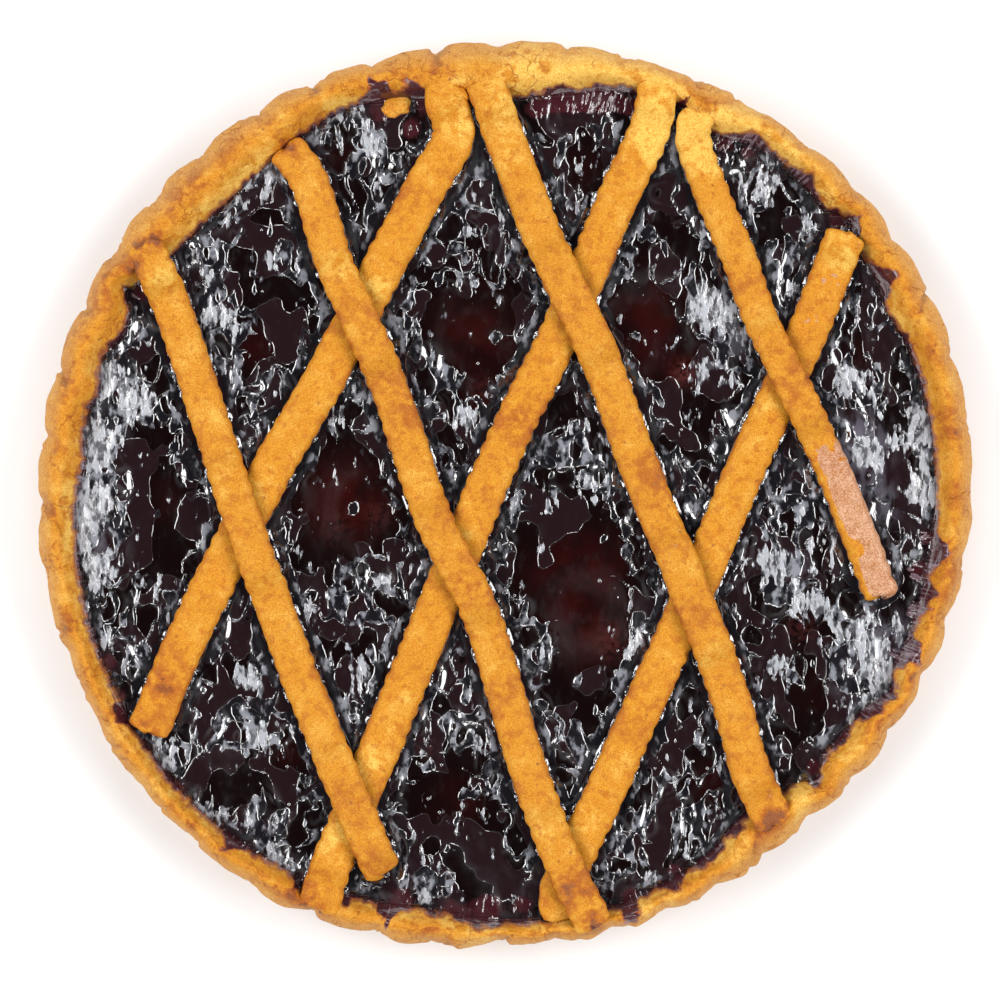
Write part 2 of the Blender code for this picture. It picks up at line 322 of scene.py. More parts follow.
def jam_edge(angle):
    """The radius at which the jam meets the rim."""
    radius = JAM_EDGE_RADIUS
    for centre, half_width, shift in JAM_EDGE_LOBES:
        radius += shift * lobe(turn_between(angle, centre), half_width)
    return radius


EDGE_TABLE = [jam_edge(step * 360.0 / EDGE_STEPS) for step in range(EDGE_STEPS)]


def jam_edge_towards(x, y):
    """The jam's radius in the direction of a point, read from the table."""
    return EDGE_TABLE[round(math.degrees(math.atan2(y, x)) * EDGE_STEPS / 360.0) % EDGE_STEPS]


print("jam edge from", round(min(EDGE_TABLE), 1), "to", round(max(EDGE_TABLE), 1))

# %% [markdown]
# ## The plan of the lattice
# Four strips run down to the right over three that run down to the left. Each was laid by hand, so
# its middle line is a smooth curve through a few points. Points at even steps along it carry the
# strip's sections later, and also tell the jam how far away the nearest dough is.

# %% Middle lines of the seven strips
OVER_STRIPS = (                # (width, points from the upper to the lower end)
    (10.9, ((-102, 71), (-93.2, 49.5), (-79.8, 9), (-68, -25), (-55.3, -59), (-34.3, -108))),
    (10.9, ((-62.5, 98.5), (-55.3, 88), (-48.2, 65), (-33.7, 32.5), (-20.3, -7), (-6.9, -34),
            (7.3, -80.5), (18.2, -108), (25.5, -122))),
    (11.4, ((-6, 117.5), (6.3, 84), (14.5, 64.5), (26.4, 39.5), (41, 0.5), (61.2, -50),
            (69.7, -78.5), (76.3, -93.5))),
    (10, ((53.4, 101), (58.6, 85.5), (66, 68), (74.2, 45.5), (92.5, 8), (107.3, -29.5))),
)
UNDER_STRIPS = (
    (12, ((-16.8, 112), (-14.8, 101), (-24.2, 84), (-52.8, 30), (-67, 5.5), (-88.6, -37.5),
            (-101.5, -67.5))),
    (11.7, ((43.5, 116), (41.2, 104), (32.5, 85), (14.7, 43.5), (1.5, 17.3), (-12.5, -16),
            (-32.7, -65), (-49, -105), (-52.5, -117.5))),
    (11.5, ((96.8, 74), (85.7, 45.5), (68.3, 7.3), (52.3, -31), (35, -69.5), (27.8, -86),
            (16, -111.5))),
)
ROUTE_STEP = 1.0


def strip_route(points):
    """Evenly spaced points along a smooth line through the given ones (Catmull-Rom)."""
    knots = [Vector(point) for point in points]
    knots = [2.0 * knots[0] - knots[1]] + knots + [2.0 * knots[-1] - knots[-2]]
    curve = []
    for before, start, end, after in zip(knots, knots[1:], knots[2:], knots[3:]):
        steps = max(2, round((end - start).length))
        for step in range(steps):
            t = step / steps
            curve.append(0.5 * (2.0 * start + (end - before) * t
                                + (2.0 * before - 5.0 * start + 4.0 * end - after) * t ** 2
                                + (3.0 * start - before - 3.0 * end + after) * t ** 3))
    curve.append(knots[-2])
    distances = [0.0]
    for start, end in zip(curve, curve[1:]):
        distances.append(distances[-1] + (end - start).length)
    count = round(distances[-1] / ROUTE_STEP)
    route = []
    segment = 0
    for index in range(count + 1):
        wanted = min(index * distances[-1] / count, distances[-1])
        while segment < len(curve) - 2 and distances[segment + 1] < wanted:
            segment += 1
        share = (wanted - distances[segment]) / (distances[segment + 1] - distances[segment])
        route.append(curve[segment].lerp(curve[segment + 1], share))
    return route


def directions(route):
    """The unit direction of the route at each of its points."""
    last = len(route) - 1
    return [(route[min(i + 1, last)] - route[max(i - 1, 0)]).normalized() for i in range(last + 1)]


over_routes = [strip_route(points) for _, points in OVER_STRIPS]
under_routes = [strip_route(points) for _, points in UNDER_STRIPS]
print("strip lengths:", [len(route) - 1 for route in over_routes + under_routes], "mm")

# %% A map of how far the dough is
dough_map = KDTree(2000)
dough_half_widths = []
for (width, _), route in zip(OVER_STRIPS + UNDER_STRIPS, over_routes + under_routes):
    for point in route[round(width / 2.0):-round(width / 2.0)]:
        dough_map.insert((point.x, point.y, 0.0), len(dough_half_widths))
        dough_half_widths.append(width / 2.0)
dough_map.balance()


def strip_distance(x, y):
    """How far a point is from the side of the nearest strip; negative under it."""
    _, index, distance = dough_map.find((x, y, 0.0))
    return distance - dough_half_widths[index]


print("points on the strips:", len(dough_half_widths))

# %% [markdown]
# ## How the oven coloured the dough
# Shortcrust browns where it stands up into the heat, at the crossings, the rim and the loose ends,
# and stays pale where it is thick and shaded. That can't come from noise alone. The spots are
# listed in plan, and every dough piece keeps their sum in a vertex attribute, which the
# material then breaks up with finer noise.

# %% Browned and pale spots, and jam that ran onto the dough
BAKED_SPOTS = (                # (x, y, reach, how much darker; below 0 is paler)
    (-14, 118, 8, -0.35), (-11, 105, 8, -0.35), (3, 113, 7, -0.4), (22, 114.5, 9, -0.4),
    (45, 103, 8, -0.4), (34, 96, 7, -0.3), (57, 93, 8, -0.3), (21, 67, 7, -0.35),
    (-98, 58, 8, -0.25), (-78, -20, 6, -0.3), (-110, -60, 8, -0.3), (-84, -89, 7, -0.35),
    (75, 27, 7, -0.3), (118, 25, 6, -0.3), (116, -38, 7, -0.3), (-20, -29, 6, -0.3),
    (-7, -12, 6, -0.25), (45, -28, 6, -0.25), (20, -95, 6, -0.3), (30, -122, 7, -0.35),
    (98, 73, 8, 0.35), (130, 30, 7, 0.35), (-64, 94, 7, 0.4), (-100, 75, 10, 0.35),
    (-8, 13, 6, 0.3), (-28, 12, 8, 0.2), (60, -33, 7, 0.3), (46, -1, 7, 0.25), (12, -117, 7, 0.4),
    (23, -119, 6, 0.35), (90, 29, 7, 0.25), (120, -48, 7, 0.3), (75, -87, 8, 0.3),
    (-50, -58, 7, 0.2), (12, -78, 8, 0.2), (36, 110, 5, 0.4), (-103, 69.5, 5.5, 1.7),
    (-99.5, 71.5, 5, 1.3), (-104.5, 64, 4, 1.4), (-103, 59.5, 3.5, 1), (-62, 98.5, 4.5, 1.7),
    (-60, 94.5, 4, 0.8), (-37, 115, 14, 0.5), (-80, 98, 12, 0.35), (-116, 54, 11, 0.5),
    (-121, 28, 9, 0.35), (-97, -54, 7, 0.6), (-101.5, -66, 8, 1), (-88, -92, 12, 0.3),
    (-60, -114, 10, 0.6), (-36, -102, 14, 0.4), (20, -112, 13, 1), (25.5, -121.5, 5.5, 1.8),
    (75.9, -92, 5.5, 1.7), (79.5, -88.5, 4.5, 1.1), (72, -95, 4, 0.9), (108, -30, 5, 0.8),
    (126, -22, 11, 0.6), (113, -62, 9, 0.3), (126, 22, 12, 0.8), (123, 40, 12, 0.6),
    (112, 63, 9, 0.8), (-75, -10, 20, 0.3), (-44, -86, 18, 0.2), (-40, 46, 20, 0.4),
    (-28, 25, 16, 0.6), (-14, -22, 20, 0.45), (-3, -30, 10, 0.5), (2, -55, 18, 0.5),
    (20, 56, 18, 0.45), (4, 20, 16, 0.75), (43, 8, 16, 0.6), (34, 68, 9, 0.6), (70, 62, 12, 0.4),
    (47, -14, 9, 0.4), (53, -32, 14, 0.5), (82, 33, 18, 0.75), (92, 8, 12, 0.5), (-28, 84, 12, 0.5),
    (40, -62, 20, 0.5), (70, -70, 9, 0.4), (-6, -2, 16, 0.2), (-95, -52, 16, 0.6),
    (-50, -48, 13, 0.5), (-54, -112, 10, 0.9), (-80, -106, 9, 0.5), (-62, 112, 9, 0.5),
    (-90, 90, 9, 0.6), (-122, 43, 10, 0.6), (-9, 112, 6, 0.5), (-12, 124, 8, 0.25),
    (103, -78, 8, 0.5), (18, -100, 10, 0.3), (14, 118, 21, -1.7), (30, 119, 16, -0.9),
    (46, 103, 17, -1.7), (44, 118, 9, -0.5), (-12, 108, 12, -0.6), (58, 99, 12, -0.9),
    (66, 108, 15, -0.9), (80, 96, 11, -0.9), (90, 82, 10, -0.8), (97, 70, 10, -0.9),
    (-45, 108, 10, -1), (-34, 118, 9, -0.7), (-45, 64, 10, -0.7), (-36, 58, 8, -0.8),
    (-73, 92, 8, -0.6), (-84, 78, 10, -0.6), (-93, 62, 8, -0.5), (-80, 0, 8, -0.5),
    (-69, 4, 8, -0.5), (-49, -98, 9, -0.6), (-38, -76, 9, -0.6), (23, -91, 9, -0.3),
    (3, 103, 16, -0.4), (-126, -8, 16, -0.4), (-8, -122, 14, -0.7), (12, -120, 8, -0.7),
    (84, -84, 10, -0.6), (64, -98, 9, -0.4), (38, -118, 9, -0.5), (-110, -54, 9, -0.4),
    (-86, -92, 9, -0.5), (76, 26, 7, -0.4), (-12, -14, 8, -0.4),
)
JAM_STAINS = (                 # (x, y, reach, how thick): jam lying thin on a shelf of the rim
    (-36, 109, 7, 0.9), (-27, 104, 7, 0.9), (-23, 111, 6, 1), (8, 109.5, 6, 0.9), (13, 111, 6.5, 1),
    (19, 111.8, 7, 1.1), (25, 112, 7, 1.1), (31, 111.5, 7, 1), (37, 109.5, 6, 1), (-5, -118, 9, 1),
    (-15, -119, 8, 0.9), (-30, -116, 9, 0.9), (5, -117, 7, 0.8), (-103.5, 57.5, 6, 1),
    (62, 100, 6, 1), (69, 97, 6, 0.8), (84, 92, 6, 0.9), (95, 78, 7, 0.9), (108, 62, 7, 0.9),
    (110, 54, 6, 0.7), (120, -12, 6, 0.8), (118, -22, 8, 0.9), (118, -34, 8, 0.9),
    (112, -46, 7, 0.7), (88, -78, 6, 0.9), (90, -84, 4, 0.7), (35.5, -114, 5, 1),
    (-57.5, -109, 4, 0.9), (-79, -98, 5, 0.8), (-93, -84, 6, 0.9), (-113, -48, 6, 0.9),
    (-110, -58, 6, 0.9), (48, -107, 6, 0.8), (-119, 20, 5, 0.5), (-120, -25, 5, 0.5),
)
FILM_BAYS = (                  # (angle, half width, radius): how far up the rim jam was smeared
    (5, 4, 122.2), (20, 2.5, 122.4), (29.5, 4.2, 127.2), (37.9, 2.4, 127.6), (46.3, 4.6, 125),
    (54.6, 5.6, 124.4), (65.2, 1.7, 124.4), (74, 7, 120.6), (82, 6, 117), (103, 3.6, 120.5),
    (107.5, 4.2, 124), (117.5, 3, 115.5), (127, 2, 115.2), (140, 3, 115), (151.5, 2.6, 119.6),
    (161, 3.6, 120.8), (169.5, 4, 121.6), (177.5, 4.5, 121.4), (184.5, 5, 122.2), (190.5, 5, 122.8),
    (197, 4.5, 123.2), (205, 4.5, 123.2), (210.2, 3.4, 127.8), (220.5, 5, 125.8), (224, 2.2, 124.4),
    (231.8, 2.4, 128.4), (237.5, 3.2, 123.8), (241.6, 1.5, 127), (248.5, 2.2, 125.6),
    (254.3, 2, 127.6), (260, 3, 121), (266.5, 4.5, 123), (275.3, 3.4, 121.6), (286.4, 2.8, 127.4),
    (293.6, 2.6, 122.6), (299, 4.5, 119.8), (304.5, 3, 117), (316.9, 2, 122.4), (324, 3, 119),
    (330.5, 3.4, 123.4), (332.4, 2.2, 125.8), (338.4, 3.2, 127.6), (344.5, 3.6, 124.4),
    (346.6, 2.4, 126.2), (352.3, 3, 127.4), (357, 3.2, 122.8),
)
STREAK_HIGHLIGHT_FILMS = (                # (angle, half width, how strong the painted streak highlights are)
    (342, 28, 1), (53, 15, 0.8), (76, 9, 0.7), (178, 26, 0.9), (196, 12, 0.6),
)


FILM_MARGIN = 0.4              # how far a film reaches where nothing was smeared
FILM_TAPER = 1.7               # above 1 the films end in points


def smeared_radius(angle):
    """The radius up to which jam was smeared onto the rim at an angle."""
    edge = jam_edge(angle)
    top = edge + FILM_MARGIN
    for centre, half_width, radius in FILM_BAYS:
        away = abs(turn_between(angle, centre)) / half_width
        if away < 1.0:
            top = max(top, edge + (radius - edge) * (1.0 - away) ** FILM_TAPER)
    return top


def streak_highlight_strength(angle):
    """How strongly a film of jam is painted with white streak highlights at an angle."""
    return sum(amount * lobe(turn_between(angle, centre), half_width)
               for centre, half_width, amount in STREAK_HIGHLIGHT_FILMS)


def painted(spots, x, y):
    """The sum of the spots that reach a point."""
    total = 0.0
    for spot_x, spot_y, reach, amount in spots:
        if abs(x - spot_x) < reach and abs(y - spot_y) < reach:
            total += amount * lobe(math.hypot(x - spot_x, y - spot_y), reach)
    return total


print("spots:", len(BAKED_SPOTS), "stains:", len(JAM_STAINS))

# %% [markdown]
# ## Shared effects
# The case and the strips are one dough, and the jam also stains the case. Each effect that more
# than one of them shows is built once as a node group with named inputs and outputs, and every
# material places it with values of its own.

# %% Helpers for node groups
def new_effect(name, **inputs):
    """An empty node group, and its inputs as terms; each input is named with its kind."""
    effect = bpy.data.node_groups.new(name, "ShaderNodeTree")
    for socket, kind in inputs.items():
        effect.interface.new_socket(name=socket, in_out="INPUT", socket_type="NodeSocket" + kind)
    entry = effect.nodes.new("NodeGroupInput")
    return effect, {socket: Term(entry, socket) for socket in inputs}


def give_out(effect, **results):
    """Give a node group an output for each result."""
    for name, result in results.items():
        kind = "NodeSocketColor" if result.socket.type == "RGBA" else "NodeSocketFloat"
        effect.interface.new_socket(name=name, in_out="OUTPUT", socket_type=kind)
    fill_sockets(effect.nodes.new("NodeGroupOutput"), results)


def place_effect(tree, effect, **sockets):
    """The outputs of a node group placed in a material."""
    node = add_node(tree, "ShaderNodeGroup", sockets, node_tree=effect)
    return {output.name: Term(node, output.name) for output in node.outputs}


# %% Sandy crumb of the shortcrust
crumb, given = new_effect("shortcrust_crumb", Vector="Vector")
where = given["Vector"]
dust, sand, grit = cloud(where, 0.35, 1.0), cloud(where, 0.9, 3.0), cloud(where, 2.4, 3.0)
give_out(crumb, Tint=dust * 0.64 + (sand * 0.19 + grit * 0.17), Height=sand * 0.5 + grit)
print("crumb nodes:", len(crumb.nodes))

# %% Browning from pale over gold to dark
browning, given = new_effect("oven_browning", Vector="Vector", Toast="Float", Pale="Color",
                             Golden="Color", Toasted="Color", Burnt="Color")
where = given["Vector"]
patches = cloud(where, 9.0, 3.0) - 0.5
freckles = cloud(where, 2.2, 2.0) - 0.5
broken = ramp_up(cloud(where, 3.2, 5.0), 0.34, 0.66, 0.3, 1.7)
bake = given["Toast"] * broken + (patches * 2.1 + freckles * 0.9)
shade = mix_colour(ramp_up(bake, -1.1, 0.1), given["Pale"], given["Golden"])
shade = mix_colour(ramp_up(bake, 0.1, 1.0), shade, given["Toasted"])
blotch = ramp_up(cloud(where, 2.8, 5.0) + bake * 0.09, 0.555, 0.615, 0.0, 0.5)
shade = mix_colour(blotch, shade, given["Toasted"])
shade = mix_colour(ramp_up(bake, 0.9, 1.8), shade, given["Burnt"])
give_out(browning, Colour=shade)
print("browning nodes:", len(browning.nodes))

# %% Little dark specks
RARITY = 0.62                  # the share of cells that hold no speck
SPECK_SHARPNESS = 9.0
specks, given = new_effect("oven_specks", Vector="Vector", Spacing="Float")
distance, draw = cells(given["Vector"], calculate("DIVIDE", 1.0 / MM, given["Spacing"]))
speck_size = (draw - RARITY) * 0.55
give_out(specks, Mask=calculate("MULTIPLY", speck_size - distance, SPECK_SHARPNESS, clamp=True))
print("speck nodes:", len(specks.nodes))

# %% Jam spread over the dough in a thin film
STREAK_STRETCH = (1.0, 4.5, 1.0)        # streaks run out from the middle of the tart
STREAK_RADIUS = 120.0          # where a step along a bearing is as long as it looks
soaking, given = new_effect("jam_soak", Vector="Vector", Soak="Float", Dry="Float")
where = given["Vector"]
apart = add_node(soaking, "ShaderNodeSeparateXYZ", {0: where})
east, north = Term(apart, 0), Term(apart, 1)
bearing = calculate("ARCTAN2", north, east) * (STREAK_RADIUS * MM)
reach = calculate("SQRT", east * east + north * north)
polar = Term(add_node(soaking, "ShaderNodeCombineXYZ", {0: bearing, 1: reach}))
streaks = cloud(polar, 0.9, 2.0, STREAK_STRETCH)
wander = cloud(where, 3.2, 4.0) - 0.5
wetness = given["Soak"] + ((streaks - 0.5) * 0.45 + wander * 0.55)
give_out(soaking, Stain=ramp_up(wetness, 0.18, 0.48), Film=ramp_up(wetness, 0.45, 0.78),
         Streak=ramp_up(streaks + given["Dry"] * 0.16, 0.60, 0.76))
print("film nodes:", len(soaking.nodes))

# %% Set skin of the jam
UPRIGHT = (1.0, 1.6, 1.0)      # wrinkles run up and down the tart
LINE_WIDTH = 0.20              # half the width of the step at the edge of a patch of skin, in mm
BANK_WIDTH = 1.25              # how far from the dough a bank of jam climbs up to it
BUBBLE_SPACING = 3.6
skin, given = new_effect("jam_skin", Vector="Vector", Sheen="Float", Skin="Float", Frost="Float",
                         Shore="Float")
where, shore = given["Vector"], given["Shore"]
wobble = (cloud(where, 1.9, 1.0, UPRIGHT) - 0.5) * 1.2
raised, sheet = (ramp_up(given[deep] + wobble, -LINE_WIDTH, LINE_WIDTH)
                 for deep in ("Sheen", "Skin"))
sheen_noise = (cloud(where, 2.6, 4.0, (1.0, 2.3, 1.0)) - 0.5) * 2.6
sheen_patch = ramp_up(given["Frost"] + sheen_noise, 0.42, 0.60)
mottle = ramp_up(cloud(where, 1.3, 5.0, (1.0, 2.4, 1.0)), 0.40, 0.60)
slow_ripple = cloud(where, 3.6, 1.0, UPRIGHT) * 0.10
strength = ramp_up(cloud(where, 8.0, 1.0), 0.35, 0.55, 0.45, 1.0) * ramp_up(shore, 0.5, 4.5)
bank = calculate("SUBTRACT", 1.0, shore / BANK_WIDTH, clamp=True)
bank = bank * bank * ramp_up(cloud(where, 4.2, 3.0), 0.54, 0.64, 0.0, 0.45)
distance, draw = cells(where, 1.0 / (BUBBLE_SPACING * MM))
bubble = ramp_up(distance, 0.05, 0.13, 0.10, 0.0) * ramp_up(draw, 0.68, 0.75)
steps = strength * (raised * 0.12 + sheet * 0.08)
give_out(skin, Raised=raised, Sheet=sheet, Frosted=sheen_patch, Mottle=mottle,
         Height=slow_ripple + steps + sheen_patch * (mottle * 0.07) + bank + bubble)
print("effects:", [group.name for group in bpy.data.node_groups])

# %% [markdown]
# ## Finishes
# The dough is a rough surface whose colour does all the work, so its shader has a low specular
# level. The jam is the opposite: nearly black, and all gloss. Where its skin has set in raised
# patches it is painted a grey sheen, and in places it is painted a white mottle of highlights.

# %% Helpers for materials
FILM_COLOUR = (0.062, 0.011, 0.015, 1.0)
# painted highlights: the streaks in a jam film are drawn in a light colour
STREAK_HIGHLIGHT_COLOUR = (0.36, 0.25, 0.30, 1.0)


def new_surface(name):
    """A material, its tree, its shader, and the place on the piece as a term."""
    surface = bpy.data.materials.new(name)
    surface.use_nodes = True
    tree = surface.node_tree
    where = Term(add_node(tree, "ShaderNodeTexCoord"), "Object")
    return surface, tree, tree.nodes["Principled BSDF"], where


def read_attribute(tree, name):
    """A number that the points of a piece keep."""
    return Term(add_node(tree, "ShaderNodeAttribute", attribute_name=name), "Fac")


def smeared_jam(tree, where, soak):
    """Masks of jam smeared as thick as an attribute says, and its colour with painted streak
    highlights.
    """
    masks = place_effect(tree, soaking, Vector=where, Soak=read_attribute(tree, soak),
                         Dry=read_attribute(tree, "streak_highlight"))
    return masks, mix_colour(masks["Streak"] * 0.55, FILM_COLOUR, STREAK_HIGHLIGHT_COLOUR)


def bump(height, depth):
    """The normal over a relief, whose depth is in millimetres."""
    return Term(add_node(height.tree, "ShaderNodeBump",
                         {"Height": height, "Distance": depth * MM, "Strength": 1.0}))


# %% Dough finish
GRAIN_DARK = (0.88, 0.69, 0.40, 1.0)
GRAIN_LIGHT = (1.10, 1.19, 1.34, 1.0)
GLAZE_DARK = (0.38, 0.155, 0.068, 1.0)
GLAZE_LIGHT = (0.66, 0.40, 0.265, 1.0)
STAIN_COLOUR = (0.27, 0.062, 0.034, 1.0)
RIM_PALE = (0.555, 0.315, 0.115, 1.0)
SPECK_SPACING = 3.1
CRACK_WIDTH = 0.022            # in steps of the noise whose middle level the cracks follow


def dough_finish(name, pale, golden, toasted, burnt, cracked):
    """Baked shortcrust: browned by spots, sandy, specked, and stained or glazed where it is wet."""
    surface, tree, shader, where = new_surface(name)
    grain = place_effect(tree, crumb, Vector=where)
    colour = place_effect(tree, browning, Vector=where, Toast=read_attribute(tree, "toast_and_painted_light"),
                          Pale=pale, Golden=golden, Toasted=toasted, Burnt=burnt)["Colour"]
    colour = mix_colour(read_attribute(tree, "outer"), colour, RIM_PALE)
    dots = place_effect(tree, specks, Vector=where, Spacing=SPECK_SPACING)["Mask"]
    colour = mix_colour(dots * 0.65, colour, burnt)
    level = calculate("ABSOLUTE", cloud(where, 6.0, 2.0) - 0.5)
    crack = ramp_up(level, 0.0, CRACK_WIDTH, 1.0, 0.0) * ramp_up(
        cloud(where, 9.0, 1.0), 0.48, 0.58, 0.0, cracked)
    colour = mix_colour(crack * 0.7, colour, toasted)
    tint = mix_colour(ramp_up(grain["Tint"], 0.39, 0.61), GRAIN_DARK, GRAIN_LIGHT)
    colour = mix_colour(1.0, colour, tint, "MULTIPLY")

    ragged = (cloud(where, 3.0, 5.0) - 0.5) * 1.5
    glaze = ramp_up(read_attribute(tree, "glaze") + ragged, 0.42, 0.52)
    sparkle = ramp_up(cloud(where, 0.4, 2.0) * 0.7 + cloud(where, 2.2, 2.0) * 0.3, 0.38, 0.64)
    colour = mix_colour(glaze * 0.88, colour, mix_colour(sparkle, GLAZE_DARK, GLAZE_LIGHT))

    wet, film = smeared_jam(tree, where, "soak")
    colour = mix_colour(wet["Stain"] * 0.75, colour, STAIN_COLOUR)
    matt = ramp_up(grain["Tint"], 0.3, 0.7, 0.56, 0.74)
    glossy = calculate("MAXIMUM", wet["Stain"], glaze * 0.6)
    relief = grain["Height"] - dots * 0.5 - crack * 0.7 + wet["Streak"] * wet["Film"]
    fill_sockets(shader, {
        "Base Color": mix_colour(wet["Film"], colour, film),
        "Roughness": ramp_up(glossy, 0.0, 1.0, matt, 0.16),
        "Coat Weight": wet["Film"], "Coat Roughness": 0.08, "Specular IOR Level": 0.22,
        "Normal": bump(relief, 0.22)})
    return surface


case_finish = dough_finish("case_shortcrust", (0.76, 0.46, 0.095, 1.0), (0.585, 0.243, 0.018, 1.0),
                           (0.39, 0.114, 0.013, 1.0), (0.22, 0.070, 0.024, 1.0), 1.0)
over_finish = dough_finish("over_strip_shortcrust", (0.75, 0.45, 0.085, 1.0),
                           (0.590, 0.248, 0.018, 1.0), (0.42, 0.132, 0.014, 1.0),
                           (0.25, 0.085, 0.030, 1.0), 0.0)
under_finish = dough_finish("under_strip_shortcrust", (0.77, 0.47, 0.090, 1.0),
                            (0.595, 0.248, 0.016, 1.0), (0.44, 0.137, 0.013, 1.0),
                            (0.25, 0.072, 0.018, 1.0), 0.0)

# %% Jam finish
CLEAR_DARK = (0.0044, 0.0008, 0.0009, 1.0)
CLEAR_RED = (0.030, 0.0022, 0.0018, 1.0)
SKIN_COLOUR = (0.0175, 0.0074, 0.0094, 1.0)
SHEEN_DIM = (0.0085, 0.0078, 0.0105, 1.0)
SHEEN_BRIGHT = (0.30, 0.31, 0.35, 1.0)
GREY_SHEEN_COLOUR = (0.150, 0.137, 0.172, 1.0)
MOTTLED_SHEEN_DIM = (0.065, 0.064, 0.075, 1.0)
MOTTLED_SHEEN_BRIGHT = (0.52, 0.54, 0.585, 1.0)
FRUIT_COLOUR = (0.085, 0.020, 0.018, 1.0)


def jam_surface(name):
    """Jam under a set skin, painted in layers from its clear depth up to the films on the rim."""
    surface, tree, shader, where = new_surface(name)
    clear, grey_sheen, fruit, mottled_sheen, shore, sheen, sheet = (read_attribute(tree, kept) for kept in (
        "clear", "grey_sheen", "fruit", "mottled_sheen", "shore", "sheen", "skin"))
    clear = clear * ramp_up(cloud(where, 9.0, 3.0), 0.30, 0.62, 0.25, 1.0)
    grey_sheen = grey_sheen * ramp_up(cloud(where, 3.0, 6.0, (1.0, 2.0, 1.0)), 0.38, 0.60)
    # painted sheen: raised skin is painted grey in place of a reflection of the room, and near the
    # dough it fades out as a painted contact shadow
    haze_and_painted_sheen = ramp_up(cloud(where, 2.6, 3.0, UPRIGHT) + mottled_sheen * 0.16, 0.51, 0.68)
    haze_and_painted_sheen = haze_and_painted_sheen * ramp_up(shore, 0.5, 2.4)
    top = place_effect(tree, skin, Vector=where, Sheen=sheen, Skin=sheet, Frost=mottled_sheen, Shore=shore)
    thin, film = smeared_jam(tree, where, "thin")
    layers = (                 # (how much of it covers what lies below, colour)
        (top["Sheet"] * 0.85, SKIN_COLOUR),
        # painted sheen: broad grey patches stand for soft reflections
        (grey_sheen, GREY_SHEEN_COLOUR),
        (top["Raised"] * 0.9, mix_colour(haze_and_painted_sheen, SHEEN_DIM, SHEEN_BRIGHT)),
        (fruit * ramp_up(cloud(where, 1.6, 3.0), 0.36, 0.60), FRUIT_COLOUR),
        # painted highlights: a white mottle stands for glints on crinkled skin
        (top["Frosted"] * 0.85, mix_colour(top["Mottle"], MOTTLED_SHEEN_DIM, MOTTLED_SHEEN_BRIGHT)),
        (thin["Film"] * 0.85, film),
    )
    colour = mix_colour(clear, CLEAR_DARK, CLEAR_RED)
    for cover, paint in layers:
        colour = mix_colour(cover, colour, paint)
    fill_sockets(shader, {
        "Base Color": colour,
        "Roughness": haze_and_painted_sheen * 0.10 + top["Frosted"] * 0.12 + 0.055,
        "IOR": 2.1, "Specular IOR Level": 0.78,
        "Normal": bump(top["Height"] + thin["Film"] * thin["Streak"] * 0.10, 1.0)})
    return surface


jam_finish = jam_surface("blueberry_jam")
print("finishes:", len(bpy.data.materials))

# %% [markdown]
# ## Finishing a piece
# Each piece ends the same way: its bmesh, in millimetres, is scaled to metres, its faces are
# turned outward, and it becomes an object that rides on the tart's body and stands for its solid.

# %% A helper that turns a bmesh into a finished piece
def finish_piece(bm, name, finish, nodes):
    """Make a bmesh an object with its finish, which rides on the tart in place of its solids."""
    bmesh.ops.scale(bm, vec=(MM, MM, MM), verts=bm.verts[:])
    bmesh.ops.recalc_face_normals(bm, faces=bm.faces[:])
    mesh = bpy.data.meshes.new(name)
    bm.to_mesh(mesh)
    bm.free()
    mesh.shade_smooth()
    mesh.materials.append(finish)
    piece = bpy.data.objects.new(name, mesh)
    bpy.context.scene.collection.objects.link(piece)
    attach(piece, "root")
    if nodes:
        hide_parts(*nodes)
    mesh.calc_loop_triangles()
    print(name, "triangles:", len(mesh.loop_triangles))


def attribute_layers(bm, *names):
    """New float attributes on the points of a bmesh."""
    return [bm.verts.layers.float.new(name) for name in names]


# %% [markdown]
# ## The case
# The case is one piece of dough: a floor, a leaning fluted wall, and a rim that was pinched over
# the edge of the tin. A lathe shape suits it, so its section is drawn once as a wire and spun.
# After the spin, each spoke gets the section of its own angle, because no two are alike. Creases
# run inward from between the flutes, and soft lumps and small pits break up what is left.

# %% Section of the case at an angle
JAM_LEVEL = 14.5
RIM_CREST = 22.3
RIM_SHOULDER = 17.0            # where the top of the rim turns into the wall
RIM_LUMP_SIZE, RIM_LUMP_HEIGHT = 16.0, 1.1
FLOOR_THICKNESS = 6.0
JAM_EDGE_UNDERCUT = 3.5        # how much narrower the hollow is at the floor
FOOT_RADIUS = 121.5
FOOT_CHAMFER = 1.0
WALL_BULGE = 0.5
RIM_RINGS = 32
WALL_RINGS = 13
FLOOR_RINGS = (0.0, 0.4, 0.75, 0.94)    # as shares of the radius, on both sides of the floor


def rim_height(share, crest):
    """Height of the rim's top, from the jam (share 0) over its crest to the wall (share 1)."""
    if share < 0.5:
        return JAM_LEVEL + (crest - JAM_LEVEL) * math.sin(math.pi * share) ** 0.8
    return crest - (crest - RIM_SHOULDER) * (1.0 - math.cos(math.pi * (share - 0.5)))


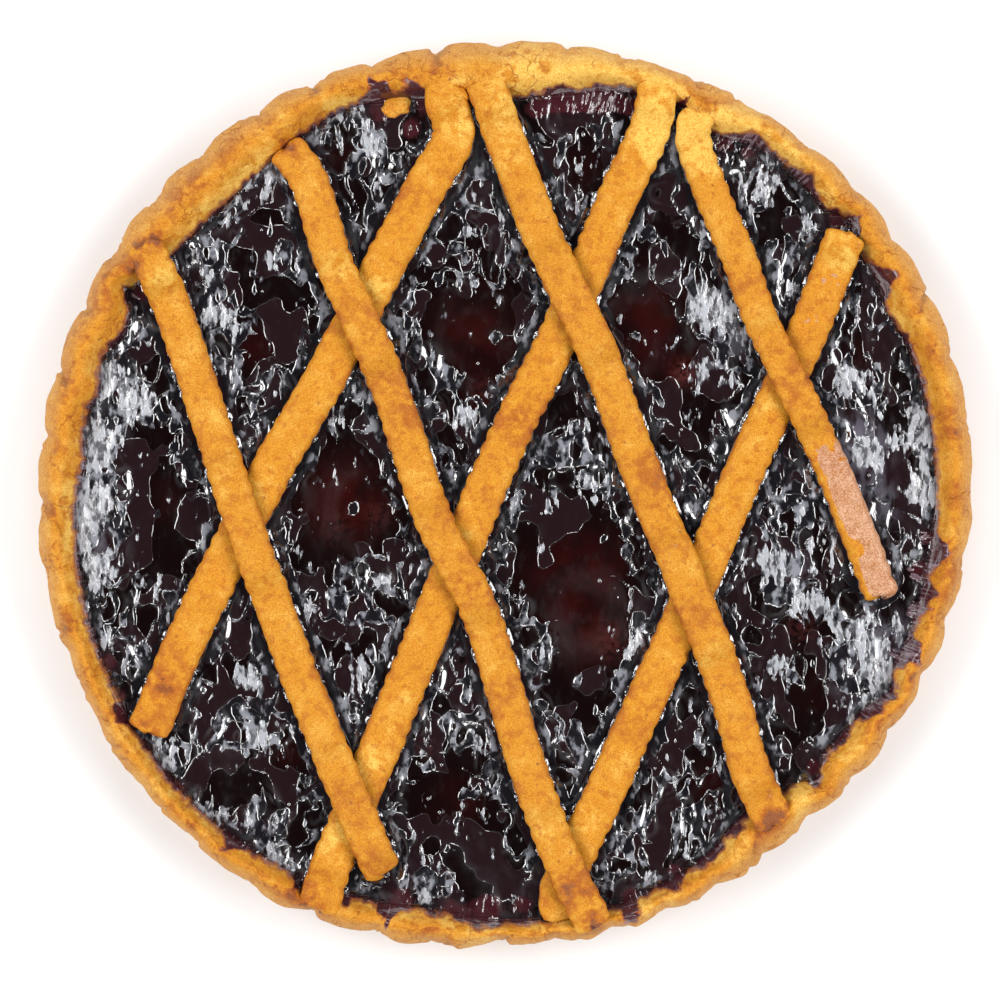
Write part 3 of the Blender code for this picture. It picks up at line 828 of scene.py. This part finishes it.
def case_section(angle):
    """Radius, height and share across the rim, from the floor over the rim to the underside."""
    edge = jam_edge(angle)
    outer = outline_radius(angle) + flute(angle)
    foot = outline_radius(angle) * FOOT_RADIUS / OUTER_RADIUS + flute(angle)
    crest_x, crest_y = around((edge + outer) / 2.0, angle)
    crest = RIM_CREST + lumps(crest_x, crest_y, RIM_LUMP_SIZE, RIM_LUMP_HEIGHT) + 0.3 * flute(angle)
    inner = edge - JAM_EDGE_UNDERCUT
    section = [(share * inner, FLOOR_THICKNESS, -1.0) for share in FLOOR_RINGS + (1.0,)]
    section.append((inner + 0.5 * JAM_EDGE_UNDERCUT, (FLOOR_THICKNESS + JAM_LEVEL) / 2.0, -0.5))
    for ring in range(RIM_RINGS + 1):
        share = ring / RIM_RINGS
        section.append((edge + share * (outer - edge), rim_height(share, crest), share))
    for ring in range(1, WALL_RINGS + 1):
        down = ring / WALL_RINGS
        section.append((outer + down * (foot - outer) + WALL_BULGE * math.sin(math.pi * down),
                        RIM_SHOULDER + down * (FOOT_CHAMFER - RIM_SHOULDER), 1.0 + down))
    section += [(foot - 0.3, 0.35, 2.1), (foot - FOOT_CHAMFER, 0.0, 3.0)]
    section += [(share * foot, 0.0, 3.0) for share in reversed(FLOOR_RINGS)]
    return section


print("points in a section:", len(case_section(0.0)))


# %% Spin the case and give each spoke its own section
CASE_SPOKES = 1080
SPOKE_ANGLES = [spoke * 360.0 / CASE_SPOKES for spoke in range(CASE_SPOKES)]


def nearest_spoke(angle):
    """The number of the spoke nearest to an angle."""
    return round(angle * CASE_SPOKES / 360.0) % CASE_SPOKES


case_bm = bmesh.new()
case_station = case_bm.verts.layers.int.new("station")
wire = []
for index, (radius, height, share) in enumerate(case_section(0.0)):
    wire.append(case_bm.verts.new((radius, 0.0, height)))
    wire[-1][case_station] = index
for lower, upper in zip(wire, wire[1:]):
    case_bm.edges.new((lower, upper))
bmesh.ops.spin(case_bm, geom=case_bm.verts[:] + case_bm.edges[:], cent=(0.0, 0.0, 0.0),
               axis=(0.0, 0.0, 1.0), angle=math.tau, steps=CASE_SPOKES, use_merge=True)
bmesh.ops.remove_doubles(case_bm, verts=case_bm.verts[:], dist=0.0005)
case_toast_and_painted_light, case_outer, case_soak, case_streak_highlight, case_share, case_fold = attribute_layers(
    case_bm, "toast_and_painted_light", "outer", "soak", "streak_highlight", "share", "fold")
case_sections = [case_section(angle) for angle in SPOKE_ANGLES]
for point in case_bm.verts:
    spoke = nearest_spoke(math.degrees(math.atan2(point.co.y, point.co.x)))
    radius, height, share = case_sections[spoke][point[case_station]]
    x, y = around(radius, SPOKE_ANGLES[spoke])
    point.co = (x, y, height)
    point[case_share] = share
print("case points:", len(case_bm.verts))

# %% Folds pinched into the rim
random.seed(5)
DEEPEST_FOLD = 0.8
RIM_FOLDS = []                 # (angle at the outline, drift inward, where it ends, depth, width)
for number in range(FLUTES):
    fold_angle = FLUTE_ANGLE + 360.0 / FLUTES * (number + 0.5) + random.gauss(0.0, 0.8)
    RIM_FOLDS.append((fold_angle, random.uniform(-7.0, 7.0), random.uniform(0.15, 0.75),
                      random.choice((0.15, 0.35, 0.55, DEEPEST_FOLD)), random.uniform(0.7, 1.4)))


def rim_fold(radius, angle, share):
    """How far the folds press the rim in or lift it at a place, and how near a place is to one."""
    number = int((angle - FLUTE_ANGLE) % 360.0 * FLUTES / 360.0)
    relief = nearest = 0.0
    for fold_angle, drift, inner, depth, width in (RIM_FOLDS[number - 1], RIM_FOLDS[number],
                                                   RIM_FOLDS[(number + 1) % FLUTES]):
        drifted = fold_angle + drift * (1.0 - min(1.0, share))
        across = math.radians(turn_between(angle, drifted)) * radius / width
        along = ease((share - inner) / 0.3) * ease((1.7 - share) / 0.3)
        lip = 0.7 * math.exp(-((across - 2.0) / 1.6) ** 2)
        relief += depth * along * (lip - math.exp(-across ** 2))
        nearest = max(nearest, along * math.exp(-(across / 3.0) ** 2) * depth / DEEPEST_FOLD)
    return relief, nearest


print("deep folds:", sum(fold[3] == DEEPEST_FOLD for fold in RIM_FOLDS), "of", len(RIM_FOLDS))

# %% Lumps, creases and pits of the case
PIT_COUNT = 420
PIT_RADIUS, PIT_DEPTH = 0.9, 0.45
DOUGH_LUMPS = ((7.0, 0.55), (2.8, 0.20), (1.2, 0.07))                   # (size, height)
random.seed(11)
pit_map = KDTree(PIT_COUNT)
for index in range(PIT_COUNT):
    pit_angle = random.uniform(0.0, 360.0)
    if random.random() < 0.6:  # most of them lie in the creases between flutes
        crease = round(pit_angle * FLUTES / 360.0) + 0.5
        pit_angle = 360.0 / FLUTES * crease + FLUTE_ANGLE + random.gauss(0.0, 1.1)
    pit_edge, pit_outer = jam_edge(pit_angle), outline_radius(pit_angle)
    pit_x, pit_y = around(random.uniform(pit_edge + 2.0, pit_outer), pit_angle)
    pit_map.insert((pit_x, pit_y, 0.0), index)
pit_map.balance()
case_bm.normal_update()
for point in case_bm.verts:
    share = point[case_share]
    if not 0.0 <= share <= 2.0:
        continue
    x, y, z = point.co
    angle = math.degrees(math.atan2(y, x))
    relief = sum(rise * noise.noise((x / size, y / size, z / size)) for size, rise in DOUGH_LUMPS)
    wander = angle + lumps(x, y, 6.0, 1.6, 41.0)
    folded, point[case_fold] = rim_fold(math.hypot(x, y), wander, share)
    relief += folded + lumps(x, y, 11.0, 0.8, 15.0) * math.sin(math.pi * min(1.0, share))
    if share <= 1.0:
        pit = lobe(pit_map.find((x, y, 0.0))[2], PIT_RADIUS)
        relief -= PIT_DEPTH * pit
        point[case_fold] += 0.6 * pit
    inward = min(1.0, share * 8.0)
    point.co += point.normal * relief * inward * min(1.0, (2.0 - share) * 4.0)
print("highest point of the rim:", round(max(point.co.z for point in case_bm.verts), 1), "mm")

# %% Where the case is browned, pale, painted lighter on its inner slope, and stained
SMEAR_TABLE = [smeared_radius(angle) for angle in SPOKE_ANGLES]
for point in case_bm.verts:
    share = point[case_share]
    if share < 0.0:
        continue
    x, y = point.co.xy
    angle = math.degrees(math.atan2(y, x))
    uneven = lumps(x, y, 15.0, 0.7, 23.0) * lobe(share - 0.7, 0.9)
    # darker along the folds, in the pits and on the lower wall, and painted lighter on the inner
    # slope to offset the shade that falls on it
    case_browning_and_painted_light = 1.1 * point[case_fold] + uneven - 0.45 * ease(1.0 - share / 0.5)
    case_browning_and_painted_light += 0.35 if share > 1.4 else 0.0
    point[case_toast_and_painted_light] = painted(BAKED_SPOTS, x, y) + case_browning_and_painted_light
    point[case_outer] = 0.75 * min(1.0, max(0.0, (share - 0.55) / 0.45)) if share < 1.6 else 0.3
    if share < 1.3:
        bent = angle + lumps(x, y, 4.0, 1.3, 17.0)
        jag = lumps(x, y, 2.2, 0.9, 7.0) + lumps(x, y, 8.0, 0.5, 3.0)
        inside = SMEAR_TABLE[nearest_spoke(bent)] + jag - math.hypot(x, y)
        point[case_soak] = min(1.3, 0.62 + inside / 2.4)
        point[case_streak_highlight] = streak_highlight_strength(angle)
finish_piece(case_bm, "case", case_finish, ["crust"])

# %% A crumb of the rim that stands out of the jam
ISLAND_PLACE = (-30.6, 110.2, 14.9)
ISLAND_SIZE = (4.4, 2.9, 1.5)
ISLAND_ANGLE = 15.5
ISLAND_SHORE = 15.6            # the jam stains the crumb below this level
island_bm = bmesh.new()
bmesh.ops.create_icosphere(island_bm, subdivisions=4, radius=1.0)
for point in island_bm.verts:
    point.co *= 1.0 + 0.22 * noise.noise(point.co * 1.7) + 0.06 * noise.noise(point.co * 5.0)
bmesh.ops.scale(island_bm, vec=ISLAND_SIZE, verts=island_bm.verts[:])
bmesh.ops.rotate(island_bm, matrix=Matrix.Rotation(math.radians(ISLAND_ANGLE), 3, "Z"),
                 verts=island_bm.verts[:])
bmesh.ops.translate(island_bm, vec=ISLAND_PLACE, verts=island_bm.verts[:])
island_toast, island_soak = attribute_layers(island_bm, "toast_and_painted_light", "soak")
for point in island_bm.verts:
    point[island_toast] = -0.2
    point[island_soak] = 1.1 * ease((ISLAND_SHORE - point.co.z) / 0.9)
finish_piece(island_bm, "rim_crumb", case_finish, [])

# %% [markdown]
# ## The jam
# The jam fills the case up to the dough and set with a wrinkled skin. Two things shape it. Along
# any dough runs a raised ribbon of skin that follows the edge. Further out it lies in smooth clear
# pools, between busy patches of small raised islands and berries under the skin. A fine flat grid
# is trimmed to the rim, given its height point by point, and closed below. Each point also keeps
# how far it is from the edge of its patch, in millimetres, so that the finish can draw that edge
# finer than the mesh could.

# %% Height of the jam
JAM_LUMP_SIZE, JAM_LUMP_HEIGHT = 22.0, 0.5
RIBBON_DISTANCE = 2.1          # how far from the dough the raised ribbon of skin runs
JAM_DOMES = (                  # (x, y, radius, height) of the clear swellings between the strips
    (-45, -5, 19, 1.1), (-7, 41, 20, 0.8), (41, 46, 22, 0.9), (24, -33, 22, 1.1),
)
CLEAR_POOLS = (                # (x, y, reach, clearness)
    (-45, -2, 21, 1), (-8, 46, 20, 0.8), (40, 48, 24, 0.8), (22, -26, 24, 1), (26, -42, 16, 0.7),
    (-70, 42, 10, 0.5), (-97, -2, 9, 0.4), (-14, -88, 12, 0.5), (58, -82, 10, 0.5),
    (86, -56, 10, 0.4), (-8, 26, 9, 0.6), (22, 92, 12, 0.25), (100, 40, 8, 0.4), (-46, 96, 8, 0.4),
    (-62, -74, 8, 0.4), (52, 34, 9, 0.7),
)
CALM_SKIN = (                  # (x, y, reach, calmness): dark jam whose skin hardly wrinkled
    (22, 94, 18, 0.8), (-10, 70, 17, 0.7), (46, 70, 18, 0.7), (12, 28, 12, 0.4), (-52, 24, 14, 0.5),
    (-22, 8, 12, 0.4), (-30, -30, 12, 0.4), (4, -42, 12, 0.4), (-88, 48, 14, 0.3),
    (-88, -14, 12, 0.3), (-14, -90, 16, 0.3), (54, -78, 14, 0.3),
)


def jam_height(x, y):
    """The slow form of the jam: a level pool with lumps and a few clear domes."""
    height = JAM_LEVEL + lumps(x, y, JAM_LUMP_SIZE, JAM_LUMP_HEIGHT)
    for dome_x, dome_y, radius, rise in JAM_DOMES:
        height += rise * lobe(math.hypot(x - dome_x, y - dome_y), radius)
    return height


def wrinkles(x, y, width, length, seed):
    """Noise between about -1 and 1 whose lumps have the given size across and up the tart."""
    return noise.noise((x / width, y / length, seed))


def busy_skin(x, y, shore, clear):
    """How wrinkled the skin is: most near the dough and in patches, least on a clear pool."""
    near = ease(1.15 - shore / 10.0)
    patch = ease((wrinkles(x, y, 15.0, 19.0, 2.0) + 0.12) / 0.35)
    calm = max(0.95 * min(1.0, clear * 1.4), min(1.0, painted(CALM_SKIN, x, y)))
    return max(near * 0.7, patch) * (1.0 - calm)


def sheen_distance(x, y, shore, busy, mottled_sheen):
    """About how deep inside a raised patch of skin a point is, in mm; below 0 it is outside."""
    wander = shore + wrinkles(x, y, 9.0, 12.0, 1.0) + 0.5 * wrinkles(x, y, 3.0, 4.2, 9.0)
    width = 1.05 * min(1.0, 0.40 + 2.4 * wrinkles(x, y, 11.0, 13.0, 20.0))
    ribbon = width - abs(wander - RIBBON_DISTANCE)
    meander = abs(wrinkles(x, y, 7.0, 9.0, 83.0) + 0.25 * wrinkles(x, y, 2.8, 3.6, 87.0))
    folds = wrinkles(x, y, 4.6, 8.2, 31.0) + 0.45 * wrinkles(x, y, 2.2, 3.6, 37.0)
    return max(ribbon, (0.17 * busy - 0.03 - meander) / 0.14,
               (folds - 0.62 + 0.44 * busy + 0.18 * mottled_sheen) / 0.24)


def skin_distance(x, y, shore, clear):
    """About how deep inside a flat sheet of dull skin a point is, in mm."""
    sheets = wrinkles(x, y, 10.0, 13.0, 61.0) + 0.4 * wrinkles(x, y, 4.2, 5.4, 67.0)
    return (sheets + 0.02 - 0.9 * clear + 0.35 * ease(1.0 - shore / 4.0)) / 0.13


def jam_relief(x, y, shore, busy, sheen, sheet):
    """The relief of the skin, on top of the slow form."""
    relief = (0.13 * ease(sheen + 0.5) + 0.10 * ease(sheet + 0.5)) * ease((shore - 0.5) / 4.0)
    relief += 0.42 * wrinkles(x, y, 6.0, 8.5, 71.0) * (0.35 + 0.65 * busy)
    folds = wrinkles(x, y, 5.5, 9.0, 33.0)
    relief -= busy * 0.45 * ease((folds - 0.18) / 0.30)
    beads = wrinkles(x, y, 2.5, 3.6, 43.0)
    lumpy = ease((wrinkles(x, y, 11.0, 13.0, 51.0) + 0.02) / 0.25) * busy
    relief += lumpy * 0.28 * ease((beads - 0.10) / 0.34)
    return relief


print("jam level in the middle:", round(jam_height(0.0, 0.0), 2), "mm")


# %% A grid for the jam, trimmed to the rim and cut finer where its skin folds
JAM_CELL = 1.14
JAM_TUCK = 0.5                 # how far the jam's surface reaches into the slope of the rim
jam_bm = bmesh.new()
jam_half = max(EDGE_TABLE) + 2.0
jam_cells = round(2.0 * jam_half / JAM_CELL)
bmesh.ops.create_grid(jam_bm, x_segments=jam_cells, y_segments=jam_cells, size=jam_half)
bmesh.ops.delete(jam_bm, context="VERTS", geom=[
    point for point in jam_bm.verts
    if point.co.xy.length > jam_edge_towards(point.co.x, point.co.y) + JAM_TUCK])
bmesh.ops.delete(jam_bm, context="VERTS",
                 geom=[point for point in jam_bm.verts if not point.link_faces])


def folded_there(face):
    """Whether the skin over a face of the grid is in sight and has relief."""
    x, y = face.calc_center_median().xy
    shore = min(strip_distance(x, y), jam_edge_towards(x, y) - math.hypot(x, y))
    if shore < -0.6:
        return False
    return shore < 5.5 or busy_skin(x, y, shore, painted(CLEAR_POOLS, x, y)) > 0.3


folded_edges = {edge for face in jam_bm.faces if folded_there(face) for edge in face.edges}
bmesh.ops.subdivide_edges(jam_bm, edges=list(folded_edges), cuts=1, use_grid_fill=True)
for point in [point for point in jam_bm.verts if point.is_boundary]:
    reach = (jam_edge_towards(point.co.x, point.co.y) + JAM_TUCK) / point.co.xy.length
    point.co.x *= reach
    point.co.y *= reach
print("jam surface points:", len(jam_bm.verts))

# %% Raise the skin and note where it is clear or crinkled
FRUIT_SPOTS = (                # (x, y, reach, amount): berries just under the skin
    (51, 34.5, 6, 0.9), (-36, -6, 7, 0.35), (30, -42, 8, 0.5), (-48, -9, 8, 0.3),
    (-22, -72, 5, 0.3), (84, -38, 7, 0.4), (-6, 30, 6, 0.3),
)
MOTTLED_SHEEN_SPOTS = (                # (x, y, reach, amount): skin painted with a white mottle of highlights
    (58, 52, 11, 1), (58, 34, 8, 0.8), (68, 44, 8, 0.5), (-104, 26, 9, 0.6), (-117, 14, 11, 1.1),
    (-118, -4, 11, 1.2), (-116, -22, 9, 0.9), (-114, 32, 9, 0.9), (-73, -52, 7, 0.9),
    (-70, -68, 7, 0.8), (-82, 50, 8, 0.5), (-68, 66, 7, 0.45), (-38, 100, 7, 0.7),
    (18, 102, 5, 0.5), (72, 86, 9, 0.6), (86, 76, 7, 0.6), (104, 12, 9, 0.9), (98, 33, 8, 0.8),
    (117, 18, 9, 0.8), (118, 0, 9, 0.7), (76, -20, 9, 0.8), (88, -32, 9, 0.8), (100, -38, 9, 0.8),
    (107, -48, 11, 1.1), (118, -22, 9, 0.9), (78, -50, 8, 0.5), (-10, 22, 6, 0.6),
    (-48, 22, 6, 0.5), (-34, -24, 6, 0.5), (-40, -50, 6, 0.6), (36, -42, 7, 0.6), (20, 4, 5, 0.5),
    (62, -66, 7, 0.5), (-6, -70, 7, 0.5), (2, -84, 7, 0.4), (-92, -84, 7, 0.4), (-12, 74, 6, 0.4),
    (-100, -26, 8, 0.5), (48, -100, 7, 0.4),
)
GREY_SHEEN_SPOTS = (                      # (x, y, reach, amount): skin painted with a broad grey sheen
    (100, 14, 15, 1), (104, -2, 12, 0.8), (108, -40, 11, 0.7), (98, -52, 9, 0.6),
    (-114, 20, 10, 0.6), (-116, -12, 10, 0.6), (82, -20, 8, 0.5), (64, 44, 9, 0.6),
)
DISTANCE_LIMIT = 3.0           # past which the finish has no use for a distance
jam_layers = attribute_layers(
    jam_bm, "clear", "mottled_sheen", "fruit", "thin", "streak_highlight", "sheen", "skin", "shore", "grey_sheen")
for point in jam_bm.verts:
    x, y = point.co.xy
    rim_distance = jam_edge_towards(x, y) - math.hypot(x, y)
    shore = max(0.0, min(strip_distance(x, y), rim_distance))
    clear = min(1.0, painted(CLEAR_POOLS, x, y))
    busy = busy_skin(x, y, shore, clear)
    rim_band = ease((lumps(x, y, 16.0, 1.0, 8.0) + 0.1) / 0.3)
    rim_band *= ease(1.0 - (rim_distance - 4.0) / 4.0)
    thin = painted(JAM_STAINS, x, y) if rim_distance < 12.0 else 0.0
    mottled_sheen = (painted(MOTTLED_SHEEN_SPOTS, x, y) + 0.35 * rim_band + 0.12 * busy) * (1.0 - min(1.0, thin))
    sheen = sheen_distance(x, y, shore, busy, mottled_sheen) - 2.5 * thin
    sheet = skin_distance(x, y, shore, clear)
    point.co.z = jam_height(x, y) + jam_relief(x, y, shore, busy, sheen, sheet)
    streak_highlight = streak_highlight_strength(math.degrees(math.atan2(y, x))) if thin else 0.0
    sheen, sheet = (max(-DISTANCE_LIMIT, min(DISTANCE_LIMIT, deep)) for deep in (sheen, sheet))
    kept = (clear, mottled_sheen, painted(FRUIT_SPOTS, x, y), thin, streak_highlight, sheen, sheet, min(6.0, shore),
            min(1.0, painted(GREY_SHEEN_SPOTS, x, y)))
    for layer, value in zip(jam_layers, kept):
        point[layer] = value
print("jam heights:", round(min(point.co.z for point in jam_bm.verts), 1), "to",
      round(max(point.co.z for point in jam_bm.verts), 1), "mm")

# %% Close the jam below
jam_rim = [edge for edge in jam_bm.edges if edge.is_boundary]
sunk = bmesh.ops.extrude_edge_only(jam_bm, edges=jam_rim)["geom"]
GAP = 0.3                      # clearance between the solids of pieces that touch
for point in [item for item in sunk if isinstance(item, bmesh.types.BMVert)]:
    foot = jam_edge_towards(point.co.x, point.co.y) - JAM_EDGE_UNDERCUT - GAP
    reach = foot / point.co.xy.length
    point.co = (point.co.x * reach, point.co.y * reach, FLOOR_THICKNESS + GAP)
bmesh.ops.holes_fill(jam_bm, sides=0,
                     edges=[item for item in sunk if isinstance(item, bmesh.types.BMEdge)])
finish_piece(jam_bm, "jam_filling", jam_finish, ["jam"])

# %% [markdown]
# ## The strips
# A strip was rolled flat, cut with a fluted wheel, and laid over the jam, so it has a soft top, a
# finely waved edge and ends that were nipped off. It sags between what it crosses. A flat grid is
# rolled up around the middle line, section by section, and sewn shut along its seam and at its
# ends. Rays cast down onto the solids below tell how high each section lies.

# %% Where strips cross, and how high they lie
DRAPE = 5.0                    # length over which a strip rides up onto what it crosses


def crossings(route, others):
    """Where other routes cross this one, as indices along it."""
    found = []
    for other in others:
        for index, (start, end_point) in enumerate(zip(route, route[1:])):
            for other_start, other_end in zip(other, other[1:]):
                if geometry.intersect_line_line_2d(start, end_point, other_start, other_end):
                    found.append(index)
    return found


def solid_tree(name):
    """A search tree over the faces of a solid of the frame."""
    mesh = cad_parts[name].data
    return BVHTree.FromPolygons([v.co for v in mesh.vertices], [p.vertices for p in mesh.polygons])


def resting_heights(route, half_width, trees):
    """The height at which a strip lies on the solids below it, easing up onto each obstacle."""
    touched = []
    for point, ahead in zip(route, directions(route)):
        across = Vector((-ahead.y, ahead.x))
        tops = []
        for share in (-1.0, -0.5, 0.0, 0.5, 1.0):
            sample = point + across * share * half_width
            above = Vector((sample.x * MM, sample.y * MM, 1.0))
            hits = [tree.ray_cast(above, Vector((0.0, 0.0, -1.0)))[0] for tree in trees]
            tops += [hit.z / MM for hit in hits if hit]
        touched.append(max(tops))
    reach = round(DRAPE / ROUTE_STEP)
    count = len(route)
    lifted = [max(touched[max(0, i - reach):i + reach + 1]) for i in range(count)]
    eased = []
    for i in range(count):
        near = range(max(0, i - reach), min(count, i + reach + 1))
        weights = [1.0 + math.cos(math.pi * (j - i) / (reach + 1)) for j in near]
        eased.append(sum(lifted[j] * w for j, w in zip(near, weights)) / sum(weights) + GAP)
    return eased


print("crossings:", [len(crossings(route, under_routes)) for route in over_routes])

# %% Form of one section of a strip
TOP_SQUARENESS = 3.5           # 2 is an ellipse, more is flatter on top
WIDEST = 0.3                   # how far up a section is at its widest


def rounded(share):
    """1 along a strip, falling to 0 at its very end, like the corner of a worn block."""
    share = min(1.0, max(0.0, share))
    return (1.0 - (1.0 - share) ** 3.0) ** (1.0 / 3.0)


def section_point(turn):
    """Across (-1 to 1) and up (0 to 1) at a turn (0 to 1) round a section, its top first."""
    angle = math.pi * (1.0 - 2.0 * turn)
    across, up = (math.copysign(abs(part) ** (2.0 / TOP_SQUARENESS), part)
                  for part in (math.cos(angle), math.sin(angle)))
    return across, WIDEST + (up * (1.0 - WIDEST) if up > 0.0 else WIDEST * up)


print("section a quarter of the way round:", [round(v, 2) for v in section_point(0.25)])


# %% Where syrup dried on the strips
GLAZE_SPOTS = (                # (x, y, reach, amount)
    (92, 60, 8, 0.45), (88, 50, 7, 0.4), (74, -84, 6, 0.3), (47, -14, 5, 0.45),
)
GLAZED_STRIP = "over_strip_4"  # its lower end was brushed with syrup
GLAZED_FROM = 99.0             # how far along it the glaze starts
GLAZED_SIDE = -0.80            # how far across it reaches; -1 is the strip's other side
BARE_SPOT = (98.6, -15.5, 4.6)          # (x, y, reach)
FULL_FROM = 14.0               # how far along the stretch it begins to cover the strip


def glaze_at(name, place, along, across):
    """How much dried syrup lies on a strip at a place: soft spots, and one long glazed stretch."""
    amount = painted(GLAZE_SPOTS, place.x, place.y) - 0.5 * abs(across) ** 3
    if name == GLAZED_STRIP:
        patchy = 0.62 + 0.43 * ease((along - GLAZED_FROM - FULL_FROM) / 12.0)
        stretch = patchy * ease((along - GLAZED_FROM) / 6.0) * ease((across - GLAZED_SIDE) / 0.3)
        bare = lobe((place - Vector(BARE_SPOT[:2])).length, BARE_SPOT[2])
        amount = max(amount, stretch - 1.5 * bare)
    return amount


print("glazed:", GLAZED_STRIP, "from", GLAZED_FROM, "mm on")

# %% Roll a strip round its middle line
STRIP_THICKNESS = 4.5
PRESS_LENGTH = 14.0            # how far from a crossing a strip is still pressed thinner
END_PRESS, END_PRESS_LENGTH = 0.3, 14.0
END_CURVE = 2.0                # length over which an end rounds off in plan
END_TAPER = 1.4                # and in height
TORN_LENGTH = 8.0              # length over which a nipped end is ragged
FUSED_LENGTH = 16.0            # over which a fused end goes down into the rim
SINK = 0.5                     # how far a strip has sunk into what carries it
WAVE_LENGTH, WAVE_DEPTH = 4.7, 0.62
STRIP_LUMPS = ((8.0, 0.30), (2.6, 0.15), (1.1, 0.09))                   # (size, height)
SECTION_POINTS = 30
STATION_STEP = 0.62
END_STATIONS = (0.0, 0.05, 0.2, 0.45, 0.8, 1.25, 1.8)
SEAM_REACH = 0.004             # points nearer than this are sewn together


def strip_stations(length):
    """Distances along a strip, closer together at its ends."""
    steps = round((length - 2.0 * END_STATIONS[-1]) / STATION_STEP)
    middle = [END_STATIONS[-1] + i * STATION_STEP for i in range(1, steps)]
    return list(END_STATIONS) + middle + [length - near for near in reversed(END_STATIONS)]


def roll_strip(name, finish, width, route, heights, crossed, press, seed, upper, lower):
    """One strip, rolled round its route.

    crossed holds where others cross it, and upper and lower say how deep its ends were pinched.
    """
    length = (len(route) - 1) * ROUTE_STEP
    aheads = directions(route)
    stations = strip_stations(length)
    bm = bmesh.new()
    row_layer, column_layer = bm.verts.layers.int.new("row"), bm.verts.layers.int.new("column")
    bmesh.ops.create_grid(bm, x_segments=len(stations) - 1, y_segments=SECTION_POINTS, size=1.0)
    for point in bm.verts:
        point[row_layer] = round((point.co.x + 1.0) / 2.0 * (len(stations) - 1))
        point[column_layer] = round((point.co.y + 1.0) / 2.0 * SECTION_POINTS)
    toast_layer, soak_and_contact_shade_layer, glaze_layer = attribute_layers(bm, "toast_and_painted_light", "soak", "glaze")
    for point in bm.verts:
        along = stations[point[row_layer]]
        across, up = section_point(point[column_layer] / SECTION_POINTS)
        index = min(int(along / ROUTE_STEP), len(route) - 2)
        share = along / ROUTE_STEP - index
        middle = route[index].lerp(route[index + 1], share)
        ahead = aheads[index].lerp(aheads[index + 1], share).normalized()
        side = Vector((-ahead.y, ahead.x))
        rest = heights[index] + (heights[index + 1] - heights[index]) * share
        rest -= (upper * ease(1.0 - along / FUSED_LENGTH)
                 + lower * ease(1.0 - (length - along) / FUSED_LENGTH))
        to_end = min(along, length - along)
        thickness = STRIP_THICKNESS * (1.0 - END_PRESS * lobe(to_end, END_PRESS_LENGTH))
        for crossing in crossed:
            thickness *= 1.0 - press * lobe(along - crossing * ROUTE_STEP, PRESS_LENGTH)
        which = 1.0 if across > 0.0 else -1.0
        wave = math.sqrt(math.sin(math.pi * along / WAVE_LENGTH + seed + which) ** 2 + 0.06) - 0.66
        wave *= WAVE_DEPTH * (0.75 + noise.noise((along / 15.0, which * 5.0, seed)))
        half = width / 2.0 + wave * abs(across) ** 2
        half += 0.35 * noise.noise((along / 9.0, which * 9.0, seed))
        place = middle + side * across * half * rounded(to_end / END_CURVE)
        torn = noise.noise((across * 1.3, along / 30.0, seed + 5.0))
        place += ahead * 1.6 * torn * ease(1.0 - to_end / TORN_LENGTH)
        top = thickness
        for size, rise in STRIP_LUMPS:
            top += lumps(place.x, place.y, size, rise, seed)
        lift = WIDEST + (up - WIDEST) * rounded(to_end / END_TAPER)
        height = rest - SINK + lift * (top + SINK)
        point.co = (place.x, place.y, height)
        point[toast_layer] = painted(BAKED_SPOTS, place.x, place.y) + 0.55 * abs(across) ** 8 - 0.05
        # jam soaked into the low sides of a strip, drawn dark also as a painted contact shadow
        # where the strip meets the jam
        point[soak_and_contact_shade_layer] = 1.3 * ease((0.40 - up) / 0.16)
        point[glaze_layer] = glaze_at(name, place, along, across)
    bmesh.ops.remove_doubles(bm, verts=bm.verts[:], dist=SEAM_REACH)
    finish_piece(bm, "draped_" + name, finish, [name])


# %% Lay the under strips, then the over strips
PRESS_UNDER, PRESS_OVER = 0.26, 0.16
PINCHED_ENDS = {               # (on past the upper end, how deep, on past the lower end, how deep)
    "over_strip_1": ((), 2.6, (), 0),
    "over_strip_2": ((), 0.5, (), 1.3),
    "over_strip_3": ((), 3.4, (), 1.8),
    "over_strip_4": (((55, 108),), 3.2, (), 0),
    "under_strip_1": (((-14, 116),), 3.5, (), 0.6),
    "under_strip_2": ((), 3.5, (), 2.6),
    "under_strip_3": ((), 0.8, ((16.8, -121),), 3.4),
}


def lay_strip(name, finish, strip, others, press, trees, seed):
    """Drape one strip over the solids and roll it."""
    width, points = strip
    upper_tail, upper, lower_tail, lower = PINCHED_ENDS[name]
    route = strip_route(upper_tail + points + lower_tail)
    heights = resting_heights(route, width / 2.0 + GAP, trees)
    roll_strip(name, finish, width, route, heights, crossings(route, others), press, seed,
               upper, lower)


base_trees = [solid_tree("crust"), solid_tree("jam")]
for number, strip in enumerate(UNDER_STRIPS, start=1):
    lay_strip(f"under_strip_{number}", under_finish, strip, over_routes, PRESS_UNDER,
              base_trees, 0.7 * number)
under_trees = [solid_tree(f"under_strip_{number}") for number in (1, 2, 3)]
for number, (strip, route) in enumerate(zip(OVER_STRIPS, over_routes), start=1):
    crossed_trees = [tree for tree, other in zip(under_trees, under_routes)
                     if crossings(route, [other])]
    lay_strip(f"over_strip_{number}", over_finish, strip, under_routes, PRESS_OVER,
              base_trees + crossed_trees, 3.0 + 0.9 * number)
